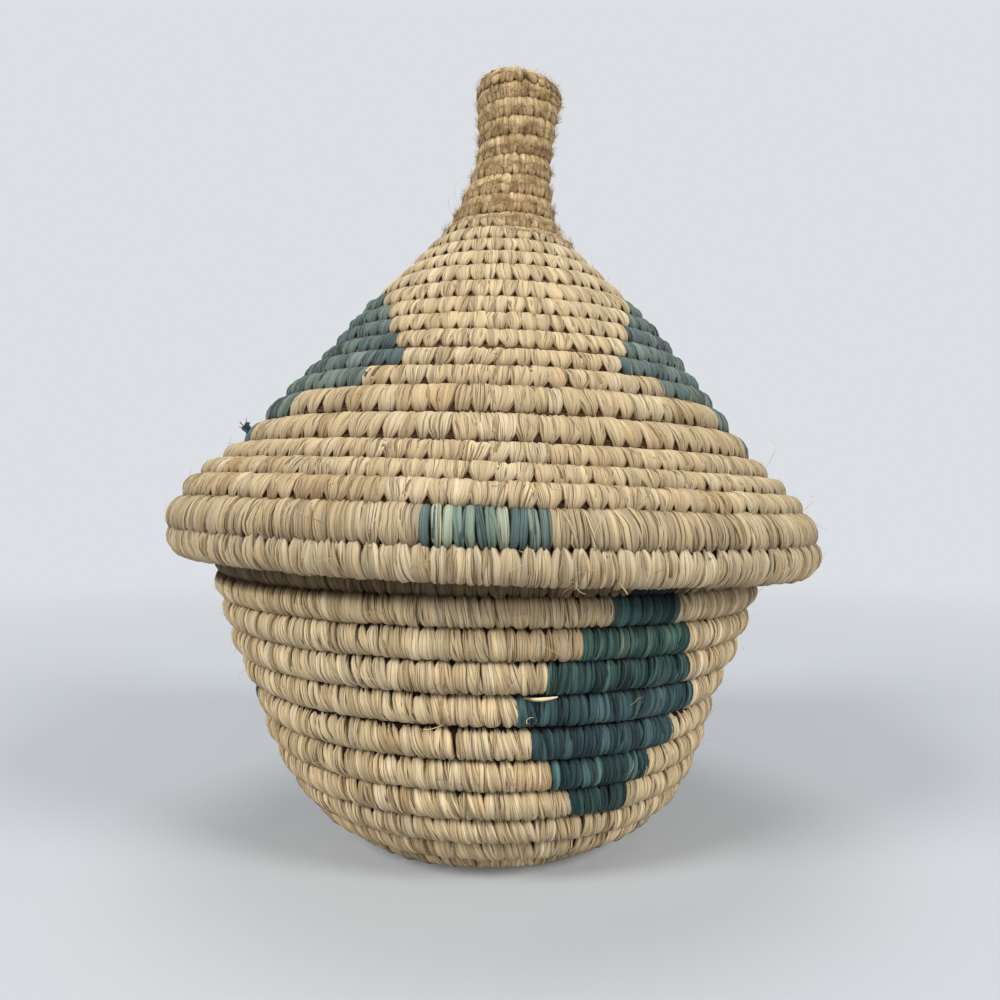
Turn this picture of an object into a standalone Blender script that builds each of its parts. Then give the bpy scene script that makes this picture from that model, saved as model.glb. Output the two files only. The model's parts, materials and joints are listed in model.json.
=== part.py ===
"""Lidded basket of coiled and sewn raffia.

Two coils make the object. Each is a cord of grass wrapped in raffia, wound turn beside turn and sewn
to the turn before. One starts in the middle of the floor and rises to the bowl's mouth. The other
starts on top of the knob and runs down the neck and cone to the lid's rim. Metres, +Z up, the bowl
stands on z = 0 about the origin, and the front of the basket faces -Y.
"""
from math import ceil, cos, hypot, pi, radians, sin, tan

import bmesh
import bpy
from mathutils import Matrix, Vector
from mathutils.bvhtree import BVHTree

# Fits
CLEARANCE = 0.0003          # between neighbouring pieces of one stack
SEAT_CLEARANCE = 0.0004     # measured straight up, under the lid and above the locating ring

# Bowl outline, on the outer face of the coil
FLOOR_TURNS = 4
EYE_RADIUS = 0.0016
FOOT_RADIUS = 0.0325
HEEL_RADIUS = 0.0492
HEEL_HEIGHT = 0.0100
HIP_RADIUS = 0.0626
HIP_HEIGHT = 0.028
FLANK_RADIUS = 0.0692
FLANK_HEIGHT = 0.0453
BELLY_RADIUS = 0.082
BELLY_HEIGHT = 0.0825
MOUTH_RADIUS = 0.078
BOWL_HEIGHT = 0.1094
BOWL_LEAN = radians(0.7)    # the stack of turns drifts towards +X as it rises
FLOOR_THICKNESS = 0.0070
WALL_THICKNESS = 0.0074

# Lid outline, heights above the end of its coil
LID_OVERHANG = 0.0141       # the rim reaches this far past the bowl's belly
RIM_TUCK = 0.0030           # the last turn draws in under the widest one
RIM_TOP_SETBACK = 0.0044
RIM_HEIGHT = 0.0117
RIM_TOP_HEIGHT = 0.0212
SKIRT_RADIUS = 0.0772
SKIRT_HEIGHT = 0.0365
CONE_RADIUS = 0.0672
CONE_HEIGHT = 0.0503
SHOULDER_RADIUS = 0.0457
SHOULDER_HEIGHT = 0.0760
NECK_RADIUS = 0.0322
NECK_HEIGHT = 0.0874
KNOB_FOOT_RADIUS = 0.0152
KNOB_FOOT_HEIGHT = 0.1070
KNOB_WAIST_RADIUS = 0.0109
KNOB_WAIST_HEIGHT = 0.1281
KNOB_HEAD_RADIUS = 0.0124
KNOB_HEAD_HEIGHT = 0.1468
KNOB_TOP_RADIUS = 0.0090
LID_HEIGHT = 0.1530
LID_EYE_RADIUS = 0.0030
KNOB_THICKNESS = 0.0046
CONE_THICKNESS = 0.0062
RIM_THICKNESS = 0.0082
KNOB_LEAN = radians(3.2)    # the knob leans further than the lid that carries it

# How the lid sits on the bowl
LID_TILT = radians(2.75)
LID_SHIFT = 0.0017

# Locating ring, sewn under the lid and standing inside the bowl's mouth
RING_PLAY = 0.0030
RING_THICKNESS = 0.0060
RING_COURSE = 0.0086
RING_TURNS = 2

# Section of the coil
GROOVE_DEPTH = 0.0012
OUTER_CROWN = (0.3, 0.7)    # shares of a turn's height where its outer face is full
BOWL_INNER_CROWN = (0.5,)
LID_INNER_CROWN = ()
STEPS = 42                  # straight lengths in one turn
FINE = 1
COARSE = 2
TAIL_STEPS = 6
TAIL_SHARE = 0.3

# Turn numbers are counted along each coil and are whole at the front of the basket
HEEL_TURN = 6
HIP_TURN = 8
FLANK_TURN = 10
BELLY_TURN = 14.5
RIM_TURN = 15
BOWL_END_TURN = 17.25
KNOB_TOP_TURN = 1
KNOB_HEAD_TURN = 2
KNOB_WAIST_TURN = 5.5
KNOB_FOOT_TURN = 9
NECK_TURN = 13
NECK_END_TURN = 13.5
SHOULDER_TURN = 15
CONE_TURN = 20
SKIRT_TURN = 22
CONE_END_TURN = 24.5
RIM_TOP_TURN = 25
LID_END_TURN = 26.5

# Dyed blocks: the first turn they show on, their widths in steps turn by turn, and where each one
# is centred, in steps from the front
BOWL_BLOCK_TURN = 7
BOWL_BLOCK_WIDTHS = (2, 3, 4, 5, 4, 3, 2, 1)
BOWL_BLOCK_CENTRES = (-3, -17, -31)
LID_BLOCK_TURN = 14
LID_BLOCK_WIDTHS = (3, 5, 7, 8, 10, 8, 3, 1)
LID_BLOCK_CENTRES = (-9, 8, 21)
DASH_TURN = 25
DASH_WIDTH = 2
DASH_CENTRES = (0, 14, 28)

RAFFIA = (0.60, 0.45, 0.27)
RAFFIA_DARK = (0.50, 0.37, 0.21)
DYED_DARK = (0.022, 0.075, 0.088)
DYED_PALE = (0.075, 0.150, 0.145)


def clear_scene():
    for item in list(bpy.data.objects):
        bpy.data.objects.remove(item)


def raffia_material(name, colour, roughness):
    material = bpy.data.materials.new(name)
    material.use_nodes = True
    shader = material.node_tree.nodes["Principled BSDF"]
    shader.inputs["Base Color"].default_value = (*colour, 1)
    shader.inputs["Roughness"].default_value = roughness
    shader.inputs["Metallic"].default_value = 0
    return material


def steady_slopes(turns, values):
    """Slopes of a curve through the values that never overshoots them."""
    count = len(turns)
    rates = [(values[i + 1] - values[i]) / (turns[i + 1] - turns[i]) for i in range(count - 1)]
    slopes = [rates[0]]
    for i in range(1, count - 1):
        before, after = rates[i - 1], rates[i]
        if before * after <= 0:
            slopes.append(0.0)
        else:
            slopes.append(2 * before * after / (before + after))
    slopes.append(rates[-1])
    return slopes


class Coil:
    """A cord wound along an outline. `side` is +1 where the outside lies to the right of its run."""

    def __init__(self, stations, side, drift, inner_crown):
        self.inner_crown = inner_crown
        self.turns = [station[0] for station in stations]
        self.columns = [[station[k] for station in stations] for k in (1, 2, 3)]
        self.slopes = [steady_slopes(self.turns, column) for column in self.columns]
        self.side = side
        self.drift = drift

    def read(self, column, turn):
        """Value and slope of one column of the outline at a turn."""
        last = len(self.turns) - 2
        i = 0
        while i < last and turn > self.turns[i + 1]:
            i += 1
        span = self.turns[i + 1] - self.turns[i]
        u = (turn - self.turns[i]) / span
        a, b = self.columns[column][i], self.columns[column][i + 1]
        p, q = self.slopes[column][i] * span, self.slopes[column][i + 1] * span
        if u > 1:
            return b + (u - 1) * q, q / span
        value = a + p * u + (3 * (b - a) - 2 * p - q) * u ** 2 + (2 * (a - b) + p + q) * u ** 3
        slope = p + 2 * (3 * (b - a) - 2 * p - q) * u + 3 * (2 * (a - b) + p + q) * u ** 2
        return value, slope / span

    def thickness(self, turn):
        return self.read(2, turn)[0]

    def place(self, turn, angle_turn, depth, along=0.0, around=0.0):
        """Point of the coil: on the outline at `turn`, seen at the azimuth of `angle_turn`.

        `depth` is the distance below the outer face, `along` a shift down the outline and
        `around` a shift along the cord, all as lengths.
        """
        radius, run = self.read(0, turn)
        height, rise = self.read(1, turn)
        length = hypot(run, rise)
        out = self.side * rise / length, -self.side * run / length
        r = radius - out[0] * depth + along * run / length
        z = height - out[1] * depth + along * rise / length
        azimuth = -2 * pi * angle_turn - around / max(radius, EYE_RADIUS)
        return Vector((self.drift(z) + r * sin(azimuth), -r * cos(azimuth), z))


def bowl_coil():
    stations = (
        (0, EYE_RADIUS, 0, FLOOR_THICKNESS),
        (FLOOR_TURNS, FOOT_RADIUS, 0, FLOOR_THICKNESS),
        (HEEL_TURN, HEEL_RADIUS, HEEL_HEIGHT, WALL_THICKNESS),
        (HIP_TURN, HIP_RADIUS, HIP_HEIGHT, WALL_THICKNESS),
        (FLANK_TURN, FLANK_RADIUS, FLANK_HEIGHT, WALL_THICKNESS),
        (BELLY_TURN, BELLY_RADIUS, BELLY_HEIGHT, WALL_THICKNESS),
        (BOWL_END_TURN + 1, MOUTH_RADIUS, BOWL_HEIGHT, WALL_THICKNESS),
    )
    return Coil(stations, 1, lambda z: z * tan(BOWL_LEAN), BOWL_INNER_CROWN)


def lid_coil():
    rim = BELLY_RADIUS + LID_OVERHANG
    stations = (
        (0, LID_EYE_RADIUS, LID_HEIGHT, KNOB_THICKNESS),
        (KNOB_TOP_TURN, KNOB_TOP_RADIUS, LID_HEIGHT - GROOVE_DEPTH, KNOB_THICKNESS),
        (KNOB_HEAD_TURN, KNOB_HEAD_RADIUS, KNOB_HEAD_HEIGHT, KNOB_THICKNESS),
        (KNOB_WAIST_TURN, KNOB_WAIST_RADIUS, KNOB_WAIST_HEIGHT, KNOB_THICKNESS),
        (KNOB_FOOT_TURN, KNOB_FOOT_RADIUS, KNOB_FOOT_HEIGHT, KNOB_THICKNESS),
        (NECK_TURN, NECK_RADIUS, NECK_HEIGHT, CONE_THICKNESS),
        (SHOULDER_TURN, SHOULDER_RADIUS, SHOULDER_HEIGHT, CONE_THICKNESS),
        (CONE_TURN, CONE_RADIUS, CONE_HEIGHT, CONE_THICKNESS),
        (SKIRT_TURN, SKIRT_RADIUS, SKIRT_HEIGHT, CONE_THICKNESS),
        (RIM_TOP_TURN, rim - RIM_TOP_SETBACK, RIM_TOP_HEIGHT, CONE_THICKNESS),
        (RIM_TOP_TURN + 1, rim, RIM_HEIGHT, RIM_THICKNESS),
        (LID_END_TURN + 1, rim - RIM_TUCK, 0, RIM_THICKNESS),
    )
    return Coil(stations, -1, lambda z: max(0, z - KNOB_FOOT_HEIGHT) * tan(KNOB_LEAN), LID_INNER_CROWN)


def whole_step(turn):
    """Step nearest to a turn that fine and coarse cells share."""
    return round(turn * STEPS / COARSE) * COARSE


def block_cells(turn, widths, centre):
    """Cells of one dyed block, a stepped lozenge about a step of the turn."""
    cells = set()
    for row, width in enumerate(widths):
        start = (turn + row) * STEPS + centre - ceil(width / 2)
        cells.update(range(start, start + width))
    return cells


def sign(value):
    return (value > 0) - (value < 0)


class CoilSolid:
    """The closed solid of a set of cells. A cell is one stretch of the cord, `stride` steps long."""

    def __init__(self, coil, cells, stride, tail_end=None):
        self.coil = coil
        self.cells = cells
        self.stride = stride
        self.tail_end = tail_end
        self.mesh = bmesh.new()
        self.points = {}

    def tail(self, step):
        """Share of the full section that is left at a step of the tapered end."""
        if self.tail_end is None:
            return 1.0
        return 1 - (1 - TAIL_SHARE) * (1 - (self.tail_end - step) / TAIL_STEPS)

    def groove(self, step, inner, tapered_from=None):
        """Corner between two turns, drawn back from any neighbour that is another piece."""
        key = step, inner
        if key not in self.points:
            back = step - self.stride
            after, before = step in self.cells, back in self.cells
            under, under_back = step - STEPS in self.cells, back - STEPS in self.cells
            along = sign(after + before - under - under_back) * CLEARANCE / 2
            around = sign(after + under - before - under_back) * CLEARANCE / 2
            angle = step / STEPS
            turn = angle
            depth_share = 1.0
            if tapered_from is not None:
                share = self.tail(tapered_from)
                angle = tapered_from / STEPS
                turn = angle + share
                depth_share = share
                around = sign((tapered_from in self.cells) - (tapered_from - self.stride in self.cells))
                around *= CLEARANCE / 2
            thick = self.coil.thickness(turn)
            depth = thick - GROOVE_DEPTH if inner else GROOVE_DEPTH
            depth = thick / 2 + (depth - thick / 2) * depth_share
            self.points[key] = self.mesh.verts.new(self.coil.place(turn, angle, depth, along, around))
        return self.points[key]

    def crown(self, step, rise, inner):
        """Point on the rounded outer or inner face of a turn."""
        key = step, rise, inner
        if key not in self.points:
            share = self.tail(step)
            around = sign((step in self.cells) - (step - self.stride in self.cells)) * CLEARANCE / 2
            turn = step / STEPS + rise * share
            thick = self.coil.thickness(turn)
            depth = thick / 2 + (thick / 2 if inner else -thick / 2) * share
            place = self.coil.place(turn, step / STEPS, depth, 0, around)
            self.points[key] = self.mesh.verts.new(place)
        return self.points[key]

    def section(self, step):
        """Corners of the cord's cross-section, out over the outer face and back over the inner."""
        free = step if self.tail_end is not None else None
        outer = [self.crown(step, rise, False) for rise in OUTER_CROWN]
        inner = [self.crown(step, rise, True) for rise in reversed(self.coil.inner_crown)]
        upper = [self.groove(step + STEPS, False, free), self.groove(step + STEPS, True, free)]
        return [self.groove(step, False), *outer, *upper, *inner, self.groove(step, True)]

    def build(self):
        upper_edge = len(OUTER_CROWN) + 1
        for step in sorted(self.cells):
            near, far = self.section(step), self.section(step + self.stride)
            lower_edge = len(near) - 1
            for i in range(len(near)):
                if i == upper_edge and step + STEPS in self.cells:
                    continue
                if i == lower_edge and step - STEPS in self.cells:
                    continue
                j = (i + 1) % len(near)
                self.mesh.faces.new((near[i], near[j], far[j], far[i]))
            if step - self.stride not in self.cells:
                self.mesh.faces.new(near)
            if step + self.stride not in self.cells:
                self.mesh.faces.new(far)
        return self.mesh


def finish(name, mesh, material, parent=None):
    """Object from a closed mesh, with its faces turned outwards and its round faces smooth."""
    bmesh.ops.recalc_face_normals(mesh, faces=mesh.faces)
    if mesh.calc_volume(signed=True) < 0:
        bmesh.ops.reverse_faces(mesh, faces=mesh.faces)
    data = bpy.data.meshes.new(name)
    mesh.to_mesh(data)
    mesh.free()
    data.shade_smooth()
    data.set_sharp_from_angle(angle=radians(50))
    data.materials.append(material)
    item = bpy.data.objects.new(name, data)
    item.parent = parent
    bpy.context.scene.collection.objects.link(item)
    return item


def start_knot(coil, flat_share=0.7):
    """The first loop of a coil, wound on itself: a snail that the second turn runs round."""
    mesh = bmesh.new()
    thick = coil.thickness(0)
    rings = []
    for step in range(0, STEPS + 1, COARSE):
        turn = step / STEPS
        around = CLEARANCE / 2 if step in (0, STEPS) else 0
        edge = [coil.place(turn, turn, depth, -CLEARANCE / 2, -around)
                for depth in (GROOVE_DEPTH, thick - GROOVE_DEPTH)]
        faces = [coil.place(turn, turn, depth, -CLEARANCE / 2, -around) for depth in (0, thick)]
        for point in faces:
            centre = coil.drift(point.z)
            point.x = centre + (point.x - centre) * flat_share
            point.y *= flat_share
        rings.append([mesh.verts.new(p) for p in (faces[0], edge[0], edge[1], faces[1])])
    for near, far in zip(rings, rings[1:]):
        for i in range(3):
            mesh.faces.new((near[i], near[i + 1], far[i + 1], far[i]))
    mesh.faces.new([ring[0] for ring in rings])
    mesh.faces.new([ring[3] for ring in rings])
    mesh.faces.new(rings[0] + rings[-1][::-1])
    return mesh


def locating_ring():
    """Two turns of coil sewn under the lid, as one turned ring that ends level."""
    mesh = bmesh.new()
    outside = MOUTH_RADIUS - WALL_THICKNESS - RING_PLAY
    inside = outside - RING_THICKNESS
    profile = []
    for row in range(RING_TURNS):
        top = -row * RING_COURSE
        profile += [(outside - GROOVE_DEPTH, top)]
        profile += [(outside, top - rise * RING_COURSE) for rise in OUTER_CROWN]
    bottom = -RING_TURNS * RING_COURSE
    profile += [(outside - GROOVE_DEPTH, bottom), (inside + GROOVE_DEPTH, bottom)]
    for row in reversed(range(RING_TURNS)):
        top = -row * RING_COURSE
        profile += [(inside, top - RING_COURSE / 2), (inside + GROOVE_DEPTH, top)]
    rings = []
    for step in range(0, STEPS, COARSE):
        angle = 2 * pi * step / STEPS
        rings.append([mesh.verts.new((r * sin(angle), -r * cos(angle), z)) for r, z in profile])
    for near, far in zip(rings, rings[1:] + rings[:1]):
        for i in range(len(profile)):
            j = (i + 1) % len(profile)
            mesh.faces.new((near[i], near[j], far[j], far[i]))
    return mesh


def surface(items):
    """World points of some objects, and a tree of their faces."""
    bpy.context.view_layer.update()
    points, faces = [], []
    for item in items:
        first = len(points)
        points += [item.matrix_world @ vertex.co for vertex in item.data.vertices]
        faces += [[first + i for i in polygon.vertices] for polygon in item.data.polygons]
    return points, BVHTree.FromPolygons(points, faces)


def drop_to_seat(upper, lower):
    """How far the upper pieces can come straight down before they touch the lower ones."""
    upper_points, upper_tree = surface(upper)
    lower_points, lower_tree = surface(lower)
    up = Vector((0, 0, 1))
    drops = [upper_tree.ray_cast(point, up)[3] for point in lower_points]
    drops += [lower_tree.ray_cast(point, -up)[3] for point in upper_points]
    return min(drop for drop in drops if drop is not None)


def make_bowl():
    natural = raffia_material("raffia_bowl", RAFFIA, 0.72)
    coil = bowl_coil()
    blocks = [block_cells(BOWL_BLOCK_TURN, BOWL_BLOCK_WIDTHS, centre) for centre in BOWL_BLOCK_CENTRES]
    foot, mouth, end = (whole_step(turn) for turn in (FLOOR_TURNS, RIM_TURN, BOWL_END_TURN))
    floor = set(range(0, foot, COARSE))
    wall = set(range(foot, mouth)).difference(*blocks)
    rim = set(range(mouth, end - TAIL_STEPS))
    tail = set(range(end - TAIL_STEPS, end))
    items = [finish("bowl_start_knot", start_knot(coil), natural)]
    items.append(finish("bowl_floor_coil", CoilSolid(coil, floor, COARSE).build(), natural))
    items.append(finish("bowl_wall_coil", CoilSolid(coil, wall, FINE).build(), natural))
    items.append(finish("bowl_rim_coil", CoilSolid(coil, rim, FINE).build(), natural))
    items.append(finish("bowl_coil_tail", CoilSolid(coil, tail, FINE, end).build(), natural))
    dyed = raffia_material("dyed_raffia_bowl", DYED_DARK, 0.62)
    for number, cells in enumerate(blocks, 1):
        name = f"bowl_dyed_block_{number}"
        items.append(finish(name, CoilSolid(coil, cells, FINE).build(), dyed))
    return items


def make_lid(seat):
    natural = raffia_material("raffia_lid", RAFFIA, 0.72)
    knob_wrap = raffia_material("raffia_knob", RAFFIA_DARK, 0.76)
    dyed = raffia_material("dyed_raffia_lid", DYED_PALE, 0.66)
    coil = lid_coil()
    blocks = [block_cells(LID_BLOCK_TURN, LID_BLOCK_WIDTHS, centre) for centre in LID_BLOCK_CENTRES]
    dashes = [block_cells(DASH_TURN, (DASH_WIDTH,), centre) for centre in DASH_CENTRES]
    foot, base = whole_step(KNOB_FOOT_TURN), whole_step(NECK_END_TURN)
    brim, end = whole_step(CONE_END_TURN), whole_step(LID_END_TURN)
    knob = set(range(0, foot, COARSE))
    neck = set(range(foot, base, COARSE))
    cone = set(range(base, brim)).difference(*blocks)
    rim = set(range(brim, end - TAIL_STEPS)).difference(*dashes)
    tail = set(range(end - TAIL_STEPS, end))
    items = [finish("lid_start_knot", start_knot(coil), knob_wrap, seat)]
    items.append(finish("lid_knob_coil", CoilSolid(coil, knob, COARSE).build(), knob_wrap, seat))
    items.append(finish("lid_neck_coil", CoilSolid(coil, neck, COARSE).build(), natural, seat))
    items.append(finish("lid_cone_coil", CoilSolid(coil, cone, FINE).build(), natural, seat))
    items.append(finish("lid_rim_coil", CoilSolid(coil, rim, FINE).build(), natural, seat))
    items.append(finish("lid_coil_tail", CoilSolid(coil, tail, FINE, end).build(), natural, seat))
    for number, cells in enumerate(blocks, 1):
        name = f"lid_dyed_block_{number}"
        items.append(finish(name, CoilSolid(coil, cells, FINE).build(), dyed, seat))
    for number, cells in enumerate(dashes, 1):
        name = f"lid_rim_dash_{number}"
        items.append(finish(name, CoilSolid(coil, cells, FINE).build(), dyed, seat))
    ring = finish("lid_locating_ring", locating_ring(), natural, seat)
    ring.location.z = drop_to_seat(items, [ring]) - SEAT_CLEARANCE
    items.append(ring)
    return items


def main():
    clear_scene()
    bowl = make_bowl()
    seat = bpy.data.objects.new("lid_seat", None)
    bpy.context.scene.collection.objects.link(seat)
    lid = make_lid(seat)
    lean = Matrix.Rotation(LID_TILT, 4, "Y")
    seat.matrix_world = Matrix.Translation((LID_SHIFT, 0, BOWL_HEIGHT)) @ lean
    seat.location.z -= drop_to_seat(lid, bowl) - SEAT_CLEARANCE
    bpy.context.view_layer.update()


main()
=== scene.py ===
"""Looks of the lidded basket: raffia stitches sewn over two coils of grass, on the fixed frame."""

import json
import random
from math import ceil, cos, floor, hypot, pi, radians, sin, tan
from typing import NamedTuple

import bmesh
import bpy
from mathutils import Matrix, Vector

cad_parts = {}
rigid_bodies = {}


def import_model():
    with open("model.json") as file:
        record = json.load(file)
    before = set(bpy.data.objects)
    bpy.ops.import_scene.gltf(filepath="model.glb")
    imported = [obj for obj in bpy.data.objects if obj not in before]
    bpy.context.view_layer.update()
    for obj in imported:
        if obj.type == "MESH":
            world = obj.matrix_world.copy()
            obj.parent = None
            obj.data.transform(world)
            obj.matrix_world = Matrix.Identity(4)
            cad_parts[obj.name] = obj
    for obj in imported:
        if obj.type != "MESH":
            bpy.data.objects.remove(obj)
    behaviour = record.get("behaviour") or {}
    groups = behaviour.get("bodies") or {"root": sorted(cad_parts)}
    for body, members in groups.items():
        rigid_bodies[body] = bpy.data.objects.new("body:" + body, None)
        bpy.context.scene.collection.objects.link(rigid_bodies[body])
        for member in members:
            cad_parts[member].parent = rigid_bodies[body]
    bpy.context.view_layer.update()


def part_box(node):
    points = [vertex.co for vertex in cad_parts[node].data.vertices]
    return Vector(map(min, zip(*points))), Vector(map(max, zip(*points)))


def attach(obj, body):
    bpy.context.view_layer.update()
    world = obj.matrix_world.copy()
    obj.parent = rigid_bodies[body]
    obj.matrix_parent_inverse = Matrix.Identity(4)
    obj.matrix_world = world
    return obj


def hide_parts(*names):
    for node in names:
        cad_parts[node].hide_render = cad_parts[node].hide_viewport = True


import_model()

# Bowl outline, on the outer face of the coil: radius and height where each turn starts
FLOOR_TURNS = 4
EYE_RADIUS = 0.0016
FOOT_RADIUS = 0.0345
HEEL_RADIUS = 0.0545
HEEL_HEIGHT = 0.0122
HIP_RADIUS = 0.0644
HIP_HEIGHT = 0.0285
FLANK_RADIUS = 0.0701
FLANK_HEIGHT = 0.0455
SIDE_RADIUS = 0.0772
SIDE_HEIGHT = 0.0624
BELLY_RADIUS = 0.082
BELLY_HEIGHT = 0.0825
MOUTH_RADIUS = 0.078
BOWL_HEIGHT = 0.1094
BOWL_LEAN = radians(0.7)
FOOT_SHIFT = 0.0018         # metres that the foot stands to the right
HIP_SHIFT = 0.0006
FLOOR_THICKNESS = 0.0070
WALL_THICKNESS = 0.0074

# Lid outline, heights above the end of its coil
LID_OVERHANG = 0.0146
RIM_TUCK = 0.0030
RIM_TOP_SETBACK = 0.0038
RIM_HEIGHT = 0.0117
RIM_TOP_HEIGHT = 0.0212
SKIRT_RADIUS = 0.0772
SKIRT_HEIGHT = 0.0365
CONE_RADIUS = 0.0661
CONE_HEIGHT = 0.0503
CONE_MIDDLE_RADIUS = 0.0553
CONE_MIDDLE_HEIGHT = 0.0629
SHOULDER_RADIUS = 0.0450
SHOULDER_HEIGHT = 0.0760
NECK_RADIUS = 0.0338
NECK_HEIGHT = 0.0874
FLARE_RADIUS = 0.0244
FLARE_HEIGHT = 0.0971
KNOB_FOOT_RADIUS = 0.0166
KNOB_FOOT_HEIGHT = 0.1070
KNOB_WAIST_RADIUS = 0.0120
KNOB_WAIST_HEIGHT = 0.1281
KNOB_HEAD_RADIUS = 0.0131
KNOB_HEAD_HEIGHT = 0.1468
KNOB_TOP_RADIUS = 0.0099
KNOB_TOP_DROP = 0.0012
LID_HEIGHT = 0.1530
LID_EYE_RADIUS = 0.0030
KNOB_THICKNESS = 0.0046
FLARE_THICKNESS = 0.0054
CONE_THICKNESS = 0.0062
RIM_THICKNESS = 0.0082
KNOB_LEAN = radians(3.2)
LID_TILT = radians(2.75)
LID_SHIFT = 0.0017
KNOB_SHIFT = -0.0005        # metres to the right, of each part of the lid from its axis
KNOB_FOOT_SHIFT = -0.0009
CONE_SHIFT = 0.0018
SKIRT_SHIFT = 0.0012
RIM_SHIFT = 0.0006
KNOB_DROOP = 0.0022         # metres that the knob's head hangs lower on its right side
KNOB_BULGE = 0.0010         # metres that it stands out there
KNOB_CORNER = 0.0006        # metres that its top edge stands up and out on the left
KNOB_SPLIT = (0.966, 0.990)  # turns between which no stitch covers the grass of the head's first row
DROOP_REACH = 0.8           # turns below the knob's head where the droop ends
DROOP_FADE = 1.4            # turns over which it comes in

# Turn numbers are counted along each coil and are whole at the front of the basket
COIL_START = -0.95          # in the knot that each coil starts from
HEEL_TURN = 6
HIP_TURN = 8
FLANK_TURN = 10
SIDE_TURN = 12
BELLY_TURN = 14.5
RIM_TURN = 15
BOWL_END_TURN = 17.25
KNOB_TOP_TURN = 1
KNOB_HEAD_TURN = 2
KNOB_WAIST_TURN = 5.5
KNOB_FOOT_TURN = 9
FLARE_TURN = 11
NECK_TURN = 13
NECK_END_TURN = 13.5
SHOULDER_TURN = 15
CONE_MIDDLE_TURN = 17.6
CONE_TURN = 20
SKIRT_TURN = 22
CONE_END_TURN = 24.5
RIM_TOP_TURN = 25
EDGE_TURN = 25.72           # where the last row starts, with its pointed stitches
LID_END_TURN = 26.5
TAIL_TURNS = 0.143
TAIL_SHARE = 0.3            # of the cord's section, left at its tapered end

# Locating ring under the lid
RING_PLAY = 0.0030
RING_THICKNESS = 0.0060
RING_COURSE = 0.0086
RING_TURNS = 2
RING_GAP = 0.001            # of a turn, left open in each level turn

# Dyed blocks: course, left and right edge in degrees from the middle, share of blue in the dye
BOWL_BLOCK = ((7, 20, 35.4, 0.3), (8, 14.5, 39.6, 0.5), (9, 10, 46.0, 1.0), (10, 6.5, 50.0, 0.9),
              (11, 11.5, 43.5, 0.3), (12, 17, 40.6, 0.0), (13, 22, 36, 0.6), (14, 25, 34.5, 0.9))
BOWL_BLOCK_PLACES = (0, 120, 237)
LID_BLOCK = ((14, -18, 17, 0.4), (15, -28, 27, 0.3), (16, -34, 32, 0.8), (17, -39, 38, 0.4),
             (18, -44, 43.5, 0.6), (19, -33, 36, 0.2), (20, -14, 17, 0.3), (21, -6, 5, 0.8))
LID_BLOCK_PLACES = (73.4, -69.8, -184)
DASH = ((25, -9.5, 7.6, 0.0),)
DASH_PLACES = (0, -120, -240)

# Sewing
PATH_STEPS = 120            # points in one turn of a path
TOP_STEPS = 24              # places in the lid's first turn where its height is taken
SEED = 7
NEXT_SEED = 10              # from one piece to the next
BOWL_DYED_SEED = SEED + 200
BOWL_LOOSE_SEED = SEED + 300
LID_SEED = SEED + 400
LID_DYED_SEED = SEED + 600
LID_LOOSE_SEED = SEED + 700
RING_SEED = SEED + 800


class StitchKind(NamedTuple):
    """Shape and size of one kind of stitch. Widths and rises are shares of its own width and length."""
    foot: float             # width left at the lower end
    head: float             # width left at the upper end
    foot_rise: float        # how far up from the lower end it has its full width
    head_rise: float
    pitch: float            # metres from one stitch to the next
    depth: float            # metres from its ends to its crown
    width: float = 1.25     # in pitches
    reach: float = 1.0      # in rows
    unevenness: float = 0.5
    lean: float = 4.0       # degrees, to the left at the upper end
    spread: float = 6.0
    sink: float = 0.0006    # metres from the coil's outline in to the path
    drop: float = 0.0       # in rows
    variety: float = 1.0    # how unlike one another the stitches' ends are
    round: float = 0.0      # how far its sides lie below its middle, in depths
    columns: int = 6
    rows: int = 8
    strands: int = 3


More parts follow.
